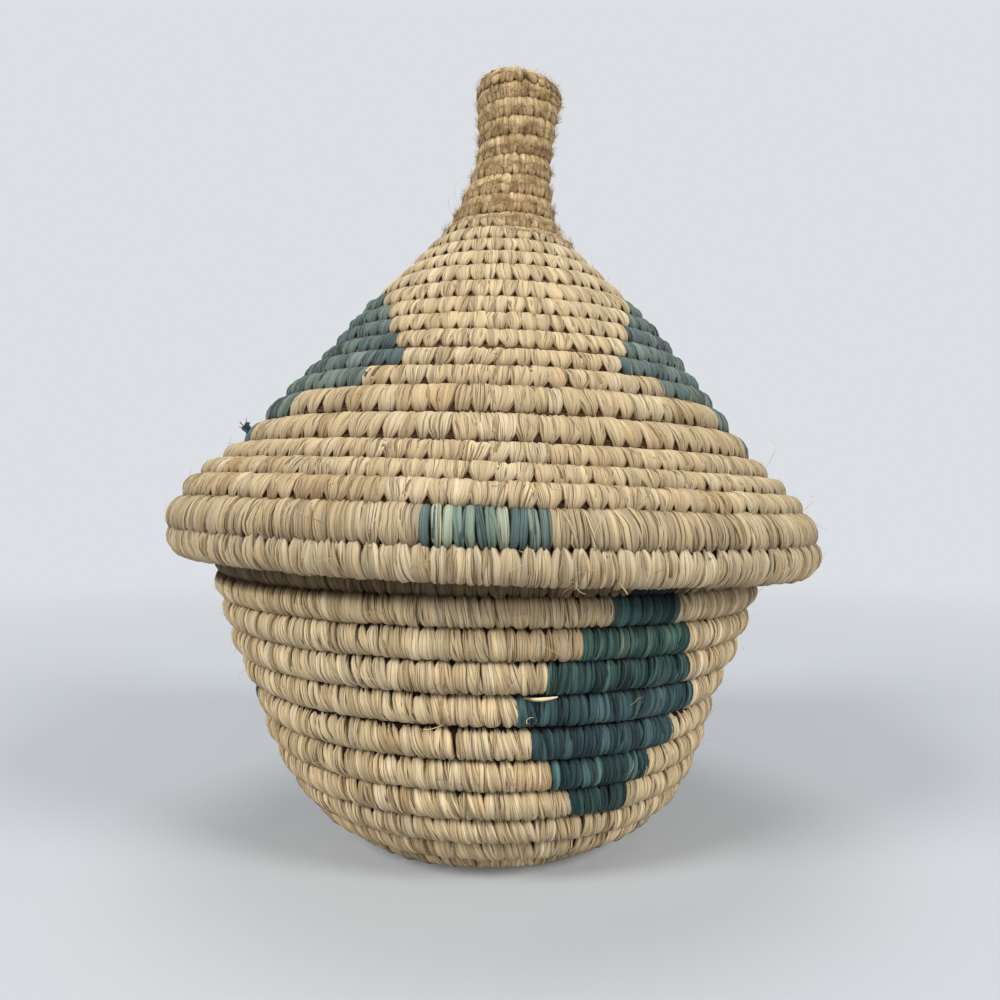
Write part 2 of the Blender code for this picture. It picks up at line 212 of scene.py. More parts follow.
KINDS = {
    "bowl": StitchKind(0.34, 0.38, 0.20, 0.18, 0.0031, 0.0040, width=1.24, reach=1.05, unevenness=0.95,
                       lean=7, spread=7, drop=0.06, round=0.05, strands=2),
    "dyed": StitchKind(0.36, 0.38, 0.18, 0.18, 0.0024, 0.0038, width=1.26, reach=1.05, unevenness=0.9,
                       lean=4, drop=0.06, round=0.04),
    "inside": StitchKind(0.5, 0.5, 0.2, 0.2, 0.0034, 0.0026, lean=6, columns=3, rows=5),
    "bowl_lip": StitchKind(0.5, 0.5, 0.2, 0.2, 0.0034, 0.0042, lean=6, drop=0.06, columns=3, rows=7),
    "lid_lip": StitchKind(0.5, 0.5, 0.2, 0.2, 0.0034, 0.0048, reach=1.18, lean=6, drop=0.10, columns=3,
                          rows=7),
    "cone": StitchKind(0.38, 0.74, 0.30, 0.10, 0.0046, 0.0028, width=1.27, reach=1.05, unevenness=0.8,
                       lean=2, spread=5, variety=0.5, columns=8, rows=6, strands=4),
    "neck": StitchKind(0.45, 0.65, 0.34, 0.14, 0.0040, 0.0017, reach=1.05, unevenness=0.7, lean=2,
                       sink=0.0004, variety=0.6, round=0.10),
    "brim": StitchKind(0.30, 0.70, 0.18, 0.08, 0.0040, 0.0038, width=1.26, reach=1.03, unevenness=0.8,
                       spread=5, drop=-0.02, variety=0.8),
    "edge": StitchKind(0.70, 0.20, 0.10, 0.26, 0.0037, 0.0040, width=1.26, reach=1.22, spread=5, drop=0.09,
                       variety=0.25),
    "dash": StitchKind(0.45, 0.75, 0.18, 0.10, 0.0023, 0.0036, width=1.00, unevenness=0.55, variety=0.3,
                       strands=2),
    "knob": StitchKind(0.50, 0.66, 0.34, 0.22, 0.0025, 0.0013, width=1.34, reach=1.14, sink=0.0004,
                       unevenness=0.8, spread=8, variety=0.7, round=0.26),
    "strand": StitchKind(0.5, 0.5, 0.3, 0.3, 0.0070, 0.0031, width=0.14, reach=0.94, unevenness=0.9,
                         spread=13, sink=0.0003, columns=2, strands=1),
}


def srgb(red, green, blue):
    """A colour given as it looks on a screen, 0 to 255, as Blender's linear values."""
    def linear(value):
        share = value / 255
        return share / 12.92 if share <= 0.04045 else ((share + 0.055) / 1.055) ** 2.4
    return (linear(red), linear(green), linear(blue), 1.0)


# Coils

def clamped(value):
    """The value, kept between 0 and 1."""
    return min(1.0, max(0.0, value))


def steady_slopes(turns, values):
    """Slopes of a curve through the values that never overshoots them."""
    count = len(turns)
    rates = [(values[i + 1] - values[i]) / (turns[i + 1] - turns[i]) for i in range(count - 1)]
    slopes = [rates[0]]
    for before, after in zip(rates, rates[1:]):
        slopes.append(0.0 if before * after <= 0 else 2 * before * after / (before + after))
    slopes.append(rates[-1])
    return slopes


RADIUS, HEIGHT, THICKNESS, SHIFT = range(4)  # columns of an outline
WAY_STEP = 0.001            # metres out to the point that gives the way out


class Coil:
    """A cord wound along an outline. `side` is +1 where the outside lies to the right of its run.

    A station is a turn and the radius, height, thickness and shift to the right that the cord has there.
    A level coil is turns laid one on another. Any other climbs as it winds.
    """

    def __init__(self, stations, side, drift, seat, tail_end=None, level=False):
        self.turns, *self.columns = zip(*stations)
        self.slopes = [steady_slopes(self.turns, column) for column in self.columns]
        self.side = side
        self.drift = drift
        self.seat = seat
        self.tail_end = tail_end
        self.level = level
        self.droop = lambda turn: 0.0

    def read(self, column, turn):
        """Value and slope of one column of the outline at a turn.

        Before its start a coil closes to a point.
        """
        first = self.columns[column][0]
        if turn < self.turns[0]:
            return (first * (1 + turn), first) if column == RADIUS else (first, 0.0)
        last = len(self.turns) - 2
        i = 0
        while i < last and turn > self.turns[i + 1]:
            i += 1
        span = self.turns[i + 1] - self.turns[i]
        u = (turn - self.turns[i]) / span
        a, b = self.columns[column][i], self.columns[column][i + 1]
        p, q = self.slopes[column][i] * span, self.slopes[column][i + 1] * span
        if u > 1:
            return b + (u - 1) * q, q / span
        value = a + p * u + (3 * (b - a) - 2 * p - q) * u ** 2 + (2 * (a - b) + p + q) * u ** 3
        slope = p + 2 * (3 * (b - a) - 2 * p - q) * u + 3 * (2 * (a - b) + p + q) * u ** 2
        return value, slope / span

    def thickness(self, turn):
        return self.read(THICKNESS, turn)[0]

    def place(self, turn, angle_turn, depth):
        """Point `depth` below the outline at `turn`, seen at the azimuth of `angle_turn`."""
        radius, run = self.read(RADIUS, turn)
        height, rise = self.read(HEIGHT, turn)
        length = hypot(run, rise)
        azimuth = -2 * pi * angle_turn
        droop = self.droop(turn) * max(0.0, sin(azimuth))
        from_eye = clamped(turn)
        corner = self.droop(turn) * max(0.0, -sin(azimuth)) * KNOB_CORNER * from_eye
        r = radius - self.side * rise / length * depth + KNOB_BULGE * droop * from_eye + corner
        z = height + self.side * run / length * depth - KNOB_DROOP * droop + corner
        x = self.drift(z) + self.read(SHIFT, turn)[0] + r * sin(azimuth)
        return self.seat @ Vector((x, -r * cos(azimuth), z))

    def start(self, turn):
        """Where on the outline the row that passes a turn has its first groove."""
        return floor(turn) if self.level else turn

    def share(self, turn):
        """Share of the full section that the cord has at a turn, less than 1 in its tapered end."""
        if self.tail_end is None:
            return 1.0
        gone = 1 - (self.tail_end - turn) / TAIL_TURNS
        return 1 - (1 - TAIL_SHARE) * clamped(gone)

    def row(self, turn, inner):
        """Middle of a row's crown, the way from its lower to its upper groove, and the way out."""
        at = self.start(turn)
        share = self.share(turn)
        half = self.thickness(at + 0.5) / 2
        depth = half + half * share * (1 if inner else -1)
        middle = at + share / 2
        centre = self.place(middle, turn, depth)
        up = self.place(at + share, turn, depth) - self.place(at, turn, depth)
        out = self.place(middle, turn, depth - WAY_STEP) - centre
        if self.side < 0:
            up = -up
        if inner:
            out = -out
        return centre, up, out.normalized()


def bowl_coil():
    """The bowl's coil, from the middle of the floor up to the mouth."""
    stations = (
        (0, EYE_RADIUS, 0, FLOOR_THICKNESS, FOOT_SHIFT),
        (FLOOR_TURNS, FOOT_RADIUS, 0, FLOOR_THICKNESS, FOOT_SHIFT),
        (HEEL_TURN, HEEL_RADIUS, HEEL_HEIGHT, WALL_THICKNESS, FOOT_SHIFT),
        (HIP_TURN, HIP_RADIUS, HIP_HEIGHT, WALL_THICKNESS, HIP_SHIFT),
        (FLANK_TURN, FLANK_RADIUS, FLANK_HEIGHT, WALL_THICKNESS, 0),
        (SIDE_TURN, SIDE_RADIUS, SIDE_HEIGHT, WALL_THICKNESS, 0),
        (BELLY_TURN, BELLY_RADIUS, BELLY_HEIGHT, WALL_THICKNESS, 0),
        (BOWL_END_TURN + 1, MOUTH_RADIUS, BOWL_HEIGHT, WALL_THICKNESS, 0),
    )
    return Coil(stations, 1, lambda z: z * tan(BOWL_LEAN), Matrix(), BOWL_END_TURN)


def lid_coil():
    """The lid's coil, seated where the frame's start knot says."""
    rim = BELLY_RADIUS + LID_OVERHANG
    stations = (
        (0, LID_EYE_RADIUS, LID_HEIGHT, KNOB_THICKNESS, KNOB_SHIFT),
        (KNOB_TOP_TURN, KNOB_TOP_RADIUS, LID_HEIGHT - KNOB_TOP_DROP, KNOB_THICKNESS, KNOB_SHIFT),
        (KNOB_HEAD_TURN, KNOB_HEAD_RADIUS, KNOB_HEAD_HEIGHT, KNOB_THICKNESS, KNOB_SHIFT),
        (KNOB_WAIST_TURN, KNOB_WAIST_RADIUS, KNOB_WAIST_HEIGHT, KNOB_THICKNESS, 0),
        (KNOB_FOOT_TURN, KNOB_FOOT_RADIUS, KNOB_FOOT_HEIGHT, KNOB_THICKNESS, KNOB_FOOT_SHIFT),
        (FLARE_TURN, FLARE_RADIUS, FLARE_HEIGHT, FLARE_THICKNESS, KNOB_SHIFT),
        (NECK_TURN, NECK_RADIUS, NECK_HEIGHT, CONE_THICKNESS, -KNOB_SHIFT),
        (SHOULDER_TURN, SHOULDER_RADIUS, SHOULDER_HEIGHT, CONE_THICKNESS, SKIRT_SHIFT),
        (CONE_MIDDLE_TURN, CONE_MIDDLE_RADIUS, CONE_MIDDLE_HEIGHT, CONE_THICKNESS, CONE_SHIFT),
        (CONE_TURN, CONE_RADIUS, CONE_HEIGHT, CONE_THICKNESS, SKIRT_SHIFT),
        (SKIRT_TURN, SKIRT_RADIUS, SKIRT_HEIGHT, CONE_THICKNESS, SKIRT_SHIFT),
        (RIM_TOP_TURN, rim - RIM_TOP_SETBACK, RIM_TOP_HEIGHT, CONE_THICKNESS, RIM_SHIFT),
        (RIM_TOP_TURN + 1, rim, RIM_HEIGHT, RIM_THICKNESS, RIM_SHIFT),
        (LID_END_TURN + 1, rim - RIM_TUCK, 0, RIM_THICKNESS, 0),
    )
    tilt = Matrix.Rotation(LID_TILT, 4, "Y")
    coil = Coil(stations, -1, lambda z: max(0, z - KNOB_FOOT_HEIGHT) * tan(KNOB_LEAN), tilt, LID_END_TURN)
    highest = max(coil.place(step / TOP_STEPS, step / TOP_STEPS, 0).z for step in range(TOP_STEPS))
    coil.droop = lambda turn: clamped((KNOB_HEAD_TURN + DROOP_REACH - turn) / DROOP_FADE)
    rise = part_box("lid_start_knot")[1].z - highest
    coil.seat = Matrix.Translation((LID_SHIFT, 0, rise)) @ tilt
    return coil


def ring_coil():
    """Level turns of the locating ring, in the middle of its node."""
    low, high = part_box("lid_locating_ring")
    outside = MOUTH_RADIUS - WALL_THICKNESS - RING_PLAY
    half = RING_TURNS * RING_COURSE / 2
    stations = ((0, outside, half, RING_THICKNESS, 0), (RING_TURNS, outside, -half, RING_THICKNESS, 0))
    seat = Matrix.Translation((low + high) / 2) @ Matrix.Rotation(LID_TILT, 4, "Y")
    return Coil(stations, -1, lambda z: 0.0, seat, level=True)


def block_stretches(rows, places):
    """Stretches of coil that one dyed block covers, for each place round the basket."""
    return [[(course - (place + right) / 360, course - (place + left) / 360)
             for course, left, right, _ in rows] for place in places]


def without(first, last, taken):
    """What is left of a stretch of coil once the taken stretches are out of it."""
    left = []
    for start, end in sorted(taken):
        if end <= first or start >= last:
            continue
        if start > first:
            left.append((first, start))
        first = max(first, end)
    if last > first:
        left.append((first, last))
    return left


# Geometry nodes

def add(tree, kind, inputs=None, **settings):
    """A node with its settings. An input is given as a value, or as a socket to link from."""
    made = tree.nodes.new(kind)
    for name, value in settings.items():
        setattr(made, name, value)
    for key, value in (inputs or {}).items():
        if isinstance(key, str):
            socket = next(s for s in made.inputs if s.name == key and s.enabled)
        else:
            socket = made.inputs[key]
        if isinstance(value, bpy.types.NodeSocket):
            tree.links.new(value, socket)
        else:
            socket.default_value = value
    return made


def result(made):
    """First output of a node that is in use."""
    return next(s for s in made.outputs if s.enabled)


def maths(tree, operation, a, b=0.0):
    """A calculation with values or sockets."""
    return result(add(tree, "ShaderNodeMath", {0: a, 1: b}, operation=operation))


def plus(tree, a, b):
    return maths(tree, "ADD", a, b)


def times(tree, a, b):
    return maths(tree, "MULTIPLY", a, b)


def vector(tree, operation, a, b=(0, 0, 0)):
    return add(tree, "ShaderNodeVectorMath", {0: a, 1: b}, operation=operation)


def random_between(tree, low, high, seed, offset):
    """A random number for each stitch, drawn with the tree's seed and an offset of its own."""
    drawn = plus(tree, seed, offset)
    return result(add(tree, "FunctionNodeRandomValue", {"Min": low, "Max": high, "Seed": drawn},
                      data_type="FLOAT"))


def named(tree, name, kind="FLOAT_VECTOR"):
    """A value that the path holds at each of its points."""
    return result(add(tree, "GeometryNodeInputNamedAttribute", {"Name": name}, data_type=kind))


def stored(tree, geometry, name, value, domain):
    """The geometry, with a value kept on each of its points or instances."""
    return result(add(tree, "GeometryNodeStoreNamedAttribute",
                      {"Geometry": geometry, "Name": name, "Value": value},
                      data_type="FLOAT", domain=domain))


def moved(tree, points, way, distance):
    """The points, each moved a distance along a way."""
    shift = result(add(tree, "ShaderNodeVectorMath", {0: way, "Scale": distance}, operation="SCALE"))
    return result(add(tree, "GeometryNodeSetPosition", {"Geometry": points, "Offset": shift}))


STITCH_SIZES = (
    ("Pitch", "NodeSocketFloat", 0.003),
    ("Unevenness", "NodeSocketFloat", 0.3),
    ("Width", "NodeSocketFloat", 1.0),
    ("Reach", "NodeSocketFloat", 1.0),
    ("Depth", "NodeSocketFloat", 0.0028),
    ("Lean", "NodeSocketFloat", 0.0),
    ("Lean spread", "NodeSocketFloat", 0.1),
    ("Seed", "NodeSocketInt", SEED),
)
WIDEST_GAP = 1.6            # most that a stitch may have to fill, in pitches
SWAY_SCALE = 70.0           # neighbouring stitches lean alike over about this share of a metre
SHAPES_EACH = 8
# Offsets of the random numbers from the tree's seed
SLIP_DRAW, LEAN_DRAW, REACH_DRAW, DEPTH_DRAW, SHAPE_DRAW, TINT_DRAW, TONE_DRAW = range(1, 8)


def stitch_cell(tree, pitch):
    """Width of the place that a stitch fills between its neighbours, and how far ahead its middle lies."""
    here = result(add(tree, "GeometryNodeInputPosition"))
    index = result(add(tree, "GeometryNodeInputIndex"))
    ways = []
    for step in (-1, 1):
        at = plus(tree, index, step)
        near = result(add(tree, "GeometryNodeFieldAtIndex", {"Value": here, "Index": at},
                          data_type="FLOAT_VECTOR", domain="POINT"))
        way = vector(tree, "DISTANCE", here, near).outputs["Value"]
        ways.append(maths(tree, "MINIMUM", way, times(tree, pitch, WIDEST_GAP)))
    sides = []
    for way, start, end in ((ways[0], 1, 0), (ways[1], 0, 1)):
        at_end = add(tree, "GeometryNodeCurveEndpointSelection", {"Start Size": start, "End Size": end})
        sides.append(result(add(tree, "GeometryNodeSwitch",
                                {"Switch": result(at_end), "False": way, "True": pitch},
                                input_type="FLOAT")))
    behind, ahead = sides
    cell = times(tree, plus(tree, behind, ahead), 0.5)
    return cell, times(tree, maths(tree, "SUBTRACT", ahead, behind), 0.25)


def stitch_rotation(tree, lean, spread, seed):
    """Up the row, outwards, and leaning a little: neighbours lean alike, and each on its own too."""
    turned = result(add(tree, "FunctionNodeAxesToRotation",
                        {"Primary Axis": named(tree, "out"), "Secondary Axis": named(tree, "up")},
                        primary_axis="Z", secondary_axis="Y"))
    drift = result(add(tree, "ShaderNodeTexNoise", {"Scale": SWAY_SCALE, "Detail": 1.0}))
    drift = times(tree, maths(tree, "SUBTRACT", drift, 0.5), 5.0)
    own = random_between(tree, -1.0, 1.0, seed, LEAN_DRAW)
    lean = plus(tree, lean, times(tree, plus(tree, drift, own), spread))
    leaned = result(add(tree, "FunctionNodeEulerToRotation",
                        {0: result(add(tree, "ShaderNodeCombineXYZ", {"Z": lean}))}))
    return result(add(tree, "FunctionNodeRotateRotation", {0: turned, 1: leaned}, rotation_space="LOCAL"))


def stitching_tree():
    """Sews stitches along a path: one shape on each point of the path, turned to lie on its row."""
    tree = bpy.data.node_groups.new("sewn_stitches", "GeometryNodeTree")
    face = tree.interface
    face.new_socket("Path", in_out="INPUT", socket_type="NodeSocketGeometry")
    for name, kind, value in STITCH_SIZES:
        face.new_socket(name, in_out="INPUT", socket_type=kind).default_value = value
    face.new_socket("Shapes", in_out="INPUT", socket_type="NodeSocketCollection")
    face.new_socket("Material", in_out="INPUT", socket_type="NodeSocketMaterial")
    face.new_socket("Stitches", in_out="OUTPUT", socket_type="NodeSocketGeometry")
    given = add(tree, "NodeGroupInput").outputs
    seed = given["Seed"]
    pitch = given["Pitch"]

    line = result(add(tree, "GeometryNodeMeshToCurve", {"Mesh": given["Path"]}))
    points = result(add(tree, "GeometryNodeResampleCurve", {"Curve": line, "Length": pitch}, mode="LENGTH"))
    at_end = result(add(tree, "GeometryNodeCurveEndpointSelection"))
    slip = times(tree, given["Unevenness"], random_between(tree, -0.5, 0.5, seed, SLIP_DRAW))
    slip = times(tree, slip, maths(tree, "SUBTRACT", 1.0, at_end))
    tangent = result(add(tree, "GeometryNodeInputTangent"))
    points = moved(tree, points, tangent, times(tree, pitch, slip))
    cell, ahead = stitch_cell(tree, pitch)
    points = stored(tree, points, "cell", cell, "POINT")
    points = moved(tree, points, tangent, ahead)

    height = vector(tree, "LENGTH", named(tree, "up")).outputs["Value"]
    width = times(tree, given["Width"], named(tree, "cell", "FLOAT"))
    reach = times(tree, height, given["Reach"])
    reach = times(tree, reach, random_between(tree, 0.96, 1.03, seed, REACH_DRAW))
    depth = times(tree, given["Depth"], random_between(tree, 0.90, 1.08, seed, DEPTH_DRAW))
    depth = times(tree, depth, named(tree, "section", "FLOAT"))
    size = result(add(tree, "ShaderNodeCombineXYZ", {"X": width, "Y": reach, "Z": depth}))

    shapes = result(add(tree, "GeometryNodeCollectionInfo",
                        {"Collection": given["Shapes"], "Separate Children": True, "Reset Children": True}))
    pick = result(add(tree, "FunctionNodeRandomValue",
                      {"Min": 0, "Max": SHAPES_EACH - 1, "Seed": plus(tree, seed, SHAPE_DRAW)},
                      data_type="INT"))
    sewn = result(add(tree, "GeometryNodeInstanceOnPoints",
                      {"Points": points, "Instance": shapes, "Pick Instance": True, "Instance Index": pick,
                       "Rotation": stitch_rotation(tree, given["Lean"], given["Lean spread"], seed),
                       "Scale": size}))
    for name, offset in (("tint", TINT_DRAW), ("tone", TONE_DRAW)):
        sewn = stored(tree, sewn, name, random_between(tree, 0.0, 1.0, seed, offset), "INSTANCE")
    solid = result(add(tree, "GeometryNodeRealizeInstances", {"Geometry": sewn}))
    solid = result(add(tree, "GeometryNodeSetMaterial", {"Geometry": solid, "Material": given["Material"]}))
    add(tree, "NodeGroupOutput", {"Stitches": solid})
    return tree


# Meshes

def finished_mesh(name, mesh, material=None):
    """A smooth mesh whose faces point outwards."""
    bmesh.ops.recalc_face_normals(mesh, faces=mesh.faces)
    data = bpy.data.meshes.new(name)
    mesh.to_mesh(data)
    mesh.free()
    data.shade_smooth()
    if material:
        data.materials.append(material)
    return data


def put(name, data):
    """An object for a mesh, a lamp or a camera, in the scene."""
    made = bpy.data.objects.new(name, data)
    bpy.context.scene.collection.objects.link(made)
    return made


def tube(mesh, uv, rings, mark, caps=((0.5, 0.5), (0.5, 0.5))):
    """Faces between rings of points and over both ends.

    `mark` places a face's corner on the UV map, from the face's side, the corner's side and its ring.
    """
    sides = len(rings[0])
    for r, (near, far) in enumerate(zip(rings, rings[1:])):
        for c in range(sides):
            d = (c + 1) % sides
            made = mesh.faces.new((near[c], near[d], far[d], far[c]))
            for loop, corner in zip(made.loops, ((c, r), (c + 1, r), (c + 1, r + 1), (c, r + 1))):
                loop[uv].uv = mark(c, *corner)
    for ring, cap in zip((rings[0], rings[-1]), caps):
        for loop in mesh.faces.new(ring).loops:
            loop[uv].uv = cap


# Stitch shapes

STRIP_EDGE = -0.10          # height of a strip's long edges, in its depths
KEEL_REACH = 0.94           # of a stitch's length, that the ridge on its underside runs
KEEL_SINK = 0.26            # of its depth, that the ridge lies below it


def strand_profile(rng, columns, most):
    """Where a strip's points lie across it and how high, for a bundle of a few strands side by side."""
    count = rng.choice([n for n in (1, 2, 3, 4) if n <= most and columns % n == 0])
    shares = [rng.uniform(0.6, 1.4) for _ in range(count)]
    across, height = [0.0], [STRIP_EDGE]
    for share in shares:
        start, each = across[-1], share / sum(shares)
        steps = columns // count
        for k in range(1, steps + 1):
            across.append(start + each * k / steps)
            height.append(0.0 if k < steps else -rng.uniform(0.08, 0.20))
        if steps == 2:
            height[-2] = rng.uniform(0.02, 0.06)
    across[-1] = 1.0
    height[-1] = STRIP_EDGE
    return across, height


def end_width(left, rise, way):
    """Width a way in from an end of a stitch, which widens from what is left there to the full width."""
    return left + (1 - left) * sin(pi / 2 * min(1, way / rise))


def stitch_shape(name, rng, kind):
    """One stitch, 1 wide, 1 long and 1 deep: a strip that arches from groove to groove."""
    mesh = bmesh.new()
    uv = mesh.loops.layers.uv.new("UVMap")
    columns, rows = kind.columns, kind.rows
    across, height = strand_profile(rng, columns, kind.strands)
    wander = [0.0] + [rng.uniform(-0.3, 0.3) / columns for _ in range(columns - 1)] + [0.0]
    ends = (kind.foot, kind.head)
    foot, head = (end + (1 - end) * kind.variety * 0.9 * rng.random() ** 1.5 for end in ends)
    foot_rise, head_rise = (rise * rng.uniform(0.7, 1.5) for rise in (kind.foot_rise, kind.head_rise))
    bend = rng.uniform(-0.10, 0.10)
    swell = rng.uniform(0.03, 0.11)
    rings = []
    for r in range(rows + 1):
        v = r / rows
        angle = pi * (v - 0.5)
        y, z = 0.5 * sin(angle), cos(angle) - 1
        width = min(end_width(foot, foot_rise, 0.5 + y), end_width(head, head_rise, 0.5 - y))
        width *= rng.uniform(0.97, 1.03)
        out_y, out_z = sin(angle), cos(angle) * 0.8 + 0.2
        middle = bend * sin(pi * v) + rng.uniform(-0.02, 0.02)
        ring = []
        for c in range(columns + 1):
            u = across[c] + wander[c] * (2 * v - 1) - 0.5
            lift = swell * (1 - abs(2 * u) ** 3) + height[c] * (0.5 + 0.5 * sin(pi * v))
            lift -= kind.round * (2 * u) ** 2
            ring.append(mesh.verts.new((middle + u * width, y + 0.35 * out_y * lift, z + out_z * lift)))
        ring.append(mesh.verts.new((middle, y * KEEL_REACH, z - KEEL_SINK)))
        rings.append(ring)

    def mark(side, corner, ring):
        """Across the strip on its own faces, and in its middle on the two that close it below."""
        return across[corner] if side < columns else 0.5, ring / rows

    tube(mesh, uv, rings, mark, caps=((0.5, 0.0), (0.5, 1.0)))
    return finished_mesh(name, mesh)


HAIR_RINGS = 5
HAIR_SIDES = 3
HAIR_HALF = 0.035           # half its thickness where it leaves the row, in its own lengths
HAIR_TAPER = 0.75           # of that half, lost towards its tip
HAIR_FLATNESS = 1.6


def hair_shape(name, rng):
    """One loose fibre that curls away from the row, 1 long and about 1 high."""
    mesh = bmesh.new()
    uv = mesh.loops.layers.uv.new("UVMap")
    curl, lift, start = rng.uniform(-0.9, 0.9), rng.uniform(0.3, 1.3), rng.uniform(-0.2, 0.2)
    angles = [0.5 + 2 * pi * side / HAIR_SIDES for side in range(HAIR_SIDES)]
    rings = []
    for r in range(HAIR_RINGS + 1):
        t = r / HAIR_RINGS
        half = HAIR_HALF * (1 - HAIR_TAPER * t)
        x, y, z = start + curl * t * t, t - 0.5, lift * t ** 1.6 - 0.25 * (1 - t)
        rings.append([mesh.verts.new((x + HAIR_FLATNESS * half * cos(a), y, z + half * sin(a)))
                      for a in angles])
    tube(mesh, uv, rings, lambda side, corner, ring: (0.5, 0.3 + 0.4 * ring / HAIR_RINGS))
    return finished_mesh(name, mesh)


def shape_collection(name, make):
    """A collection of shapes of one kind, no two alike."""
    rng = random.Random(f"{name}{SEED}")
    shapes = bpy.data.collections.new(name)
    bpy.context.scene.collection.children.link(shapes)
    for number in range(SHAPES_EACH):
        shape = f"{name}_{number}"
        shapes.objects.link(bpy.data.objects.new(shape, make(shape, rng)))
    return shapes


def make_shapes():
    """A collection of shapes for each kind of stitch, and one of loose fibres."""
    shapes = {name: shape_collection(name + "_stitch", lambda n, rng, kind=kind: stitch_shape(n, rng, kind))
              for name, kind in KINDS.items()}
    shapes["hair"] = shape_collection("loose_fibre", hair_shape)
    return shapes


# Sewing

class Kit(NamedTuple):
    """What every row is sewn with."""
    tree: bpy.types.NodeTree
    shapes: dict            # a collection for each kind of stitch
    materials: dict


MOST_CUT = 0.45             # of a stretch, most that it loses at either end


def path_along(coil, stretches, inside, kind, hues=None):
    """A line down the middle of each stretch of coil, which knows where up and out are.

    It stops half a pitch short of the stretch's ends, so that the end stitches stay within them.
    """
    points, edges, ups, outs, hue, sections = [], [], [], [], [], []
    for number, (first, last) in enumerate(stretches):
        cuts = [min(kind.pitch / (4 * pi * coil.read(RADIUS, end + 0.5)[0]), (last - first) * MOST_CUT)
                for end in (first, last)]
        count = max(2, ceil((last - first) * PATH_STEPS))
        start = len(points)
        for i in range(count + 1):
            turn = first + cuts[0] + (last - first - sum(cuts)) * i / count
            centre, up, out = coil.row(turn, inside)
            points.append(centre - out * kind.sink - up * kind.drop)
            ups.extend(up)
            outs.extend(out)
            hue.append(hues[number] if hues else 0.0)
            sections.append(coil.share(turn))
        edges += [(i, i + 1) for i in range(start, start + count)]
    mesh = bpy.data.meshes.new("path")
    mesh.from_pydata(points, edges, [])
    for mark, values in (("up", ups), ("out", outs)):
        mesh.attributes.new(mark, "FLOAT_VECTOR", "POINT").data.foreach_set("vector", values)
    for mark, values in (("hue", hue), ("section", sections)):
        mesh.attributes.new(mark, "FLOAT", "POINT").data.foreach_set("value", values)
    return mesh


def sew(name, kit, path, kind, shapes, colour, seed):
    """Runs the stitching tree along a path and keeps what it makes as a plain mesh."""
    guide = put(name + "_guide", path)
    sewing = guide.modifiers.new("sewing", "NODES")
    sewing.node_group = kit.tree
    given = {
        "Pitch": kind.pitch, "Unevenness": kind.unevenness, "Width": kind.width, "Reach": kind.reach,
        "Depth": kind.depth, "Lean": radians(kind.lean), "Lean spread": radians(kind.spread),
        "Seed": seed, "Shapes": kit.shapes[shapes], "Material": kit.materials[colour],
    }
    for item in kit.tree.interface.items_tree:
        if item.name in given:
            sewing[item.identifier] = given[item.name]
    bpy.context.view_layer.update()
    evaluated = guide.evaluated_get(bpy.context.evaluated_depsgraph_get())
    mesh = bpy.data.meshes.new_from_object(evaluated)
    mesh.name = name
    guide.modifiers.remove(sewing)
    bpy.data.objects.remove(guide)
    for attribute_name in ("up", "out", "cell", "section"):
        if attribute_name in mesh.attributes:
            mesh.attributes.remove(mesh.attributes[attribute_name])
    return put(name, mesh)


def settle(piece, body, nodes):
    """Puts a finished piece on its body and in the place of its nodes."""
    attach(piece, body)
    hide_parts(*nodes)


CORE_SIDES = 14
CORE_STEPS = 64
CORE_SINK = 0.24            # of the coil's thickness, from its outline to the bundle
CORE_HALF = 0.515           # of a row, from the bundle's middle to its edge, so that no light comes through


def core_section(coil, turn, drop):
    """Outline of the grass bundle across one row, as far below the row's middle as its stitches are."""
    share = coil.share(turn)
    at = coil.start(turn) + share / 2
    thick = coil.thickness(at)
    points = []
    for k in range(CORE_SIDES):
        angle = 2 * pi * k / CORE_SIDES
        depth = thick / 2 - (0.5 - CORE_SINK) * thick * share * cos(angle)
        points.append(coil.place(at - coil.side * drop + CORE_HALF * share * sin(angle), turn, depth))
    return points


def grass_core(name, coil, first, last, drop, material):
    """The bundle of grass inside the stitches, one closed tube along the coil."""
    mesh = bmesh.new()
    uv = mesh.loops.layers.uv.new("UVMap")
    count = round((last - first) * CORE_STEPS)
    rings = []
    for i in range(count + 1):
        turn = first + (last - first) * i / count
        rings.append([mesh.verts.new(p) for p in core_section(coil, turn, drop)])
    tube(mesh, uv, rings, lambda side, corner, ring: (corner / CORE_SIDES, ring / CORE_STEPS),
         caps=((0, 0), (0, 0)))
    return put(name, finished_mesh(name, mesh, material))


# Materials

def ramp(tree, share, stops):
    """A colour ramp with one stop for each (place, colour)."""
    made = add(tree, "ShaderNodeValToRGB", {"Fac": share})
    elements = made.color_ramp.elements
    while len(elements) < len(stops):
        elements.new(0.5)
    for element, (place, colour) in zip(elements, stops):
        element.position = place
        element.color = colour
    return made.outputs["Color"]


def grey(value):
    return (value, value, value, 1.0)


def mixed(tree, share, a, b, blend="MIX"):
    """Colour a, with a share of colour b mixed in."""
    made = add(tree, "ShaderNodeMix", data_type="RGBA", blend_type=blend)
    for key, value in ((0, share), (6, a), (7, b)):
        if isinstance(value, bpy.types.NodeSocket):
            tree.links.new(value, made.inputs[key])
        else:
            made.inputs[key].default_value = value
    return made.outputs[2]


def attribute(tree, name):
    return add(tree, "ShaderNodeAttribute", attribute_name=name).outputs["Fac"]


def along_strip(tree):
    """Places across and along a stitch, from its UV map."""
    place = add(tree, "ShaderNodeUVMap", uv_map="UVMap").outputs[0]
    marks = add(tree, "ShaderNodeSeparateXYZ", {"Vector": place}).outputs
    return marks["X"], marks["Y"]


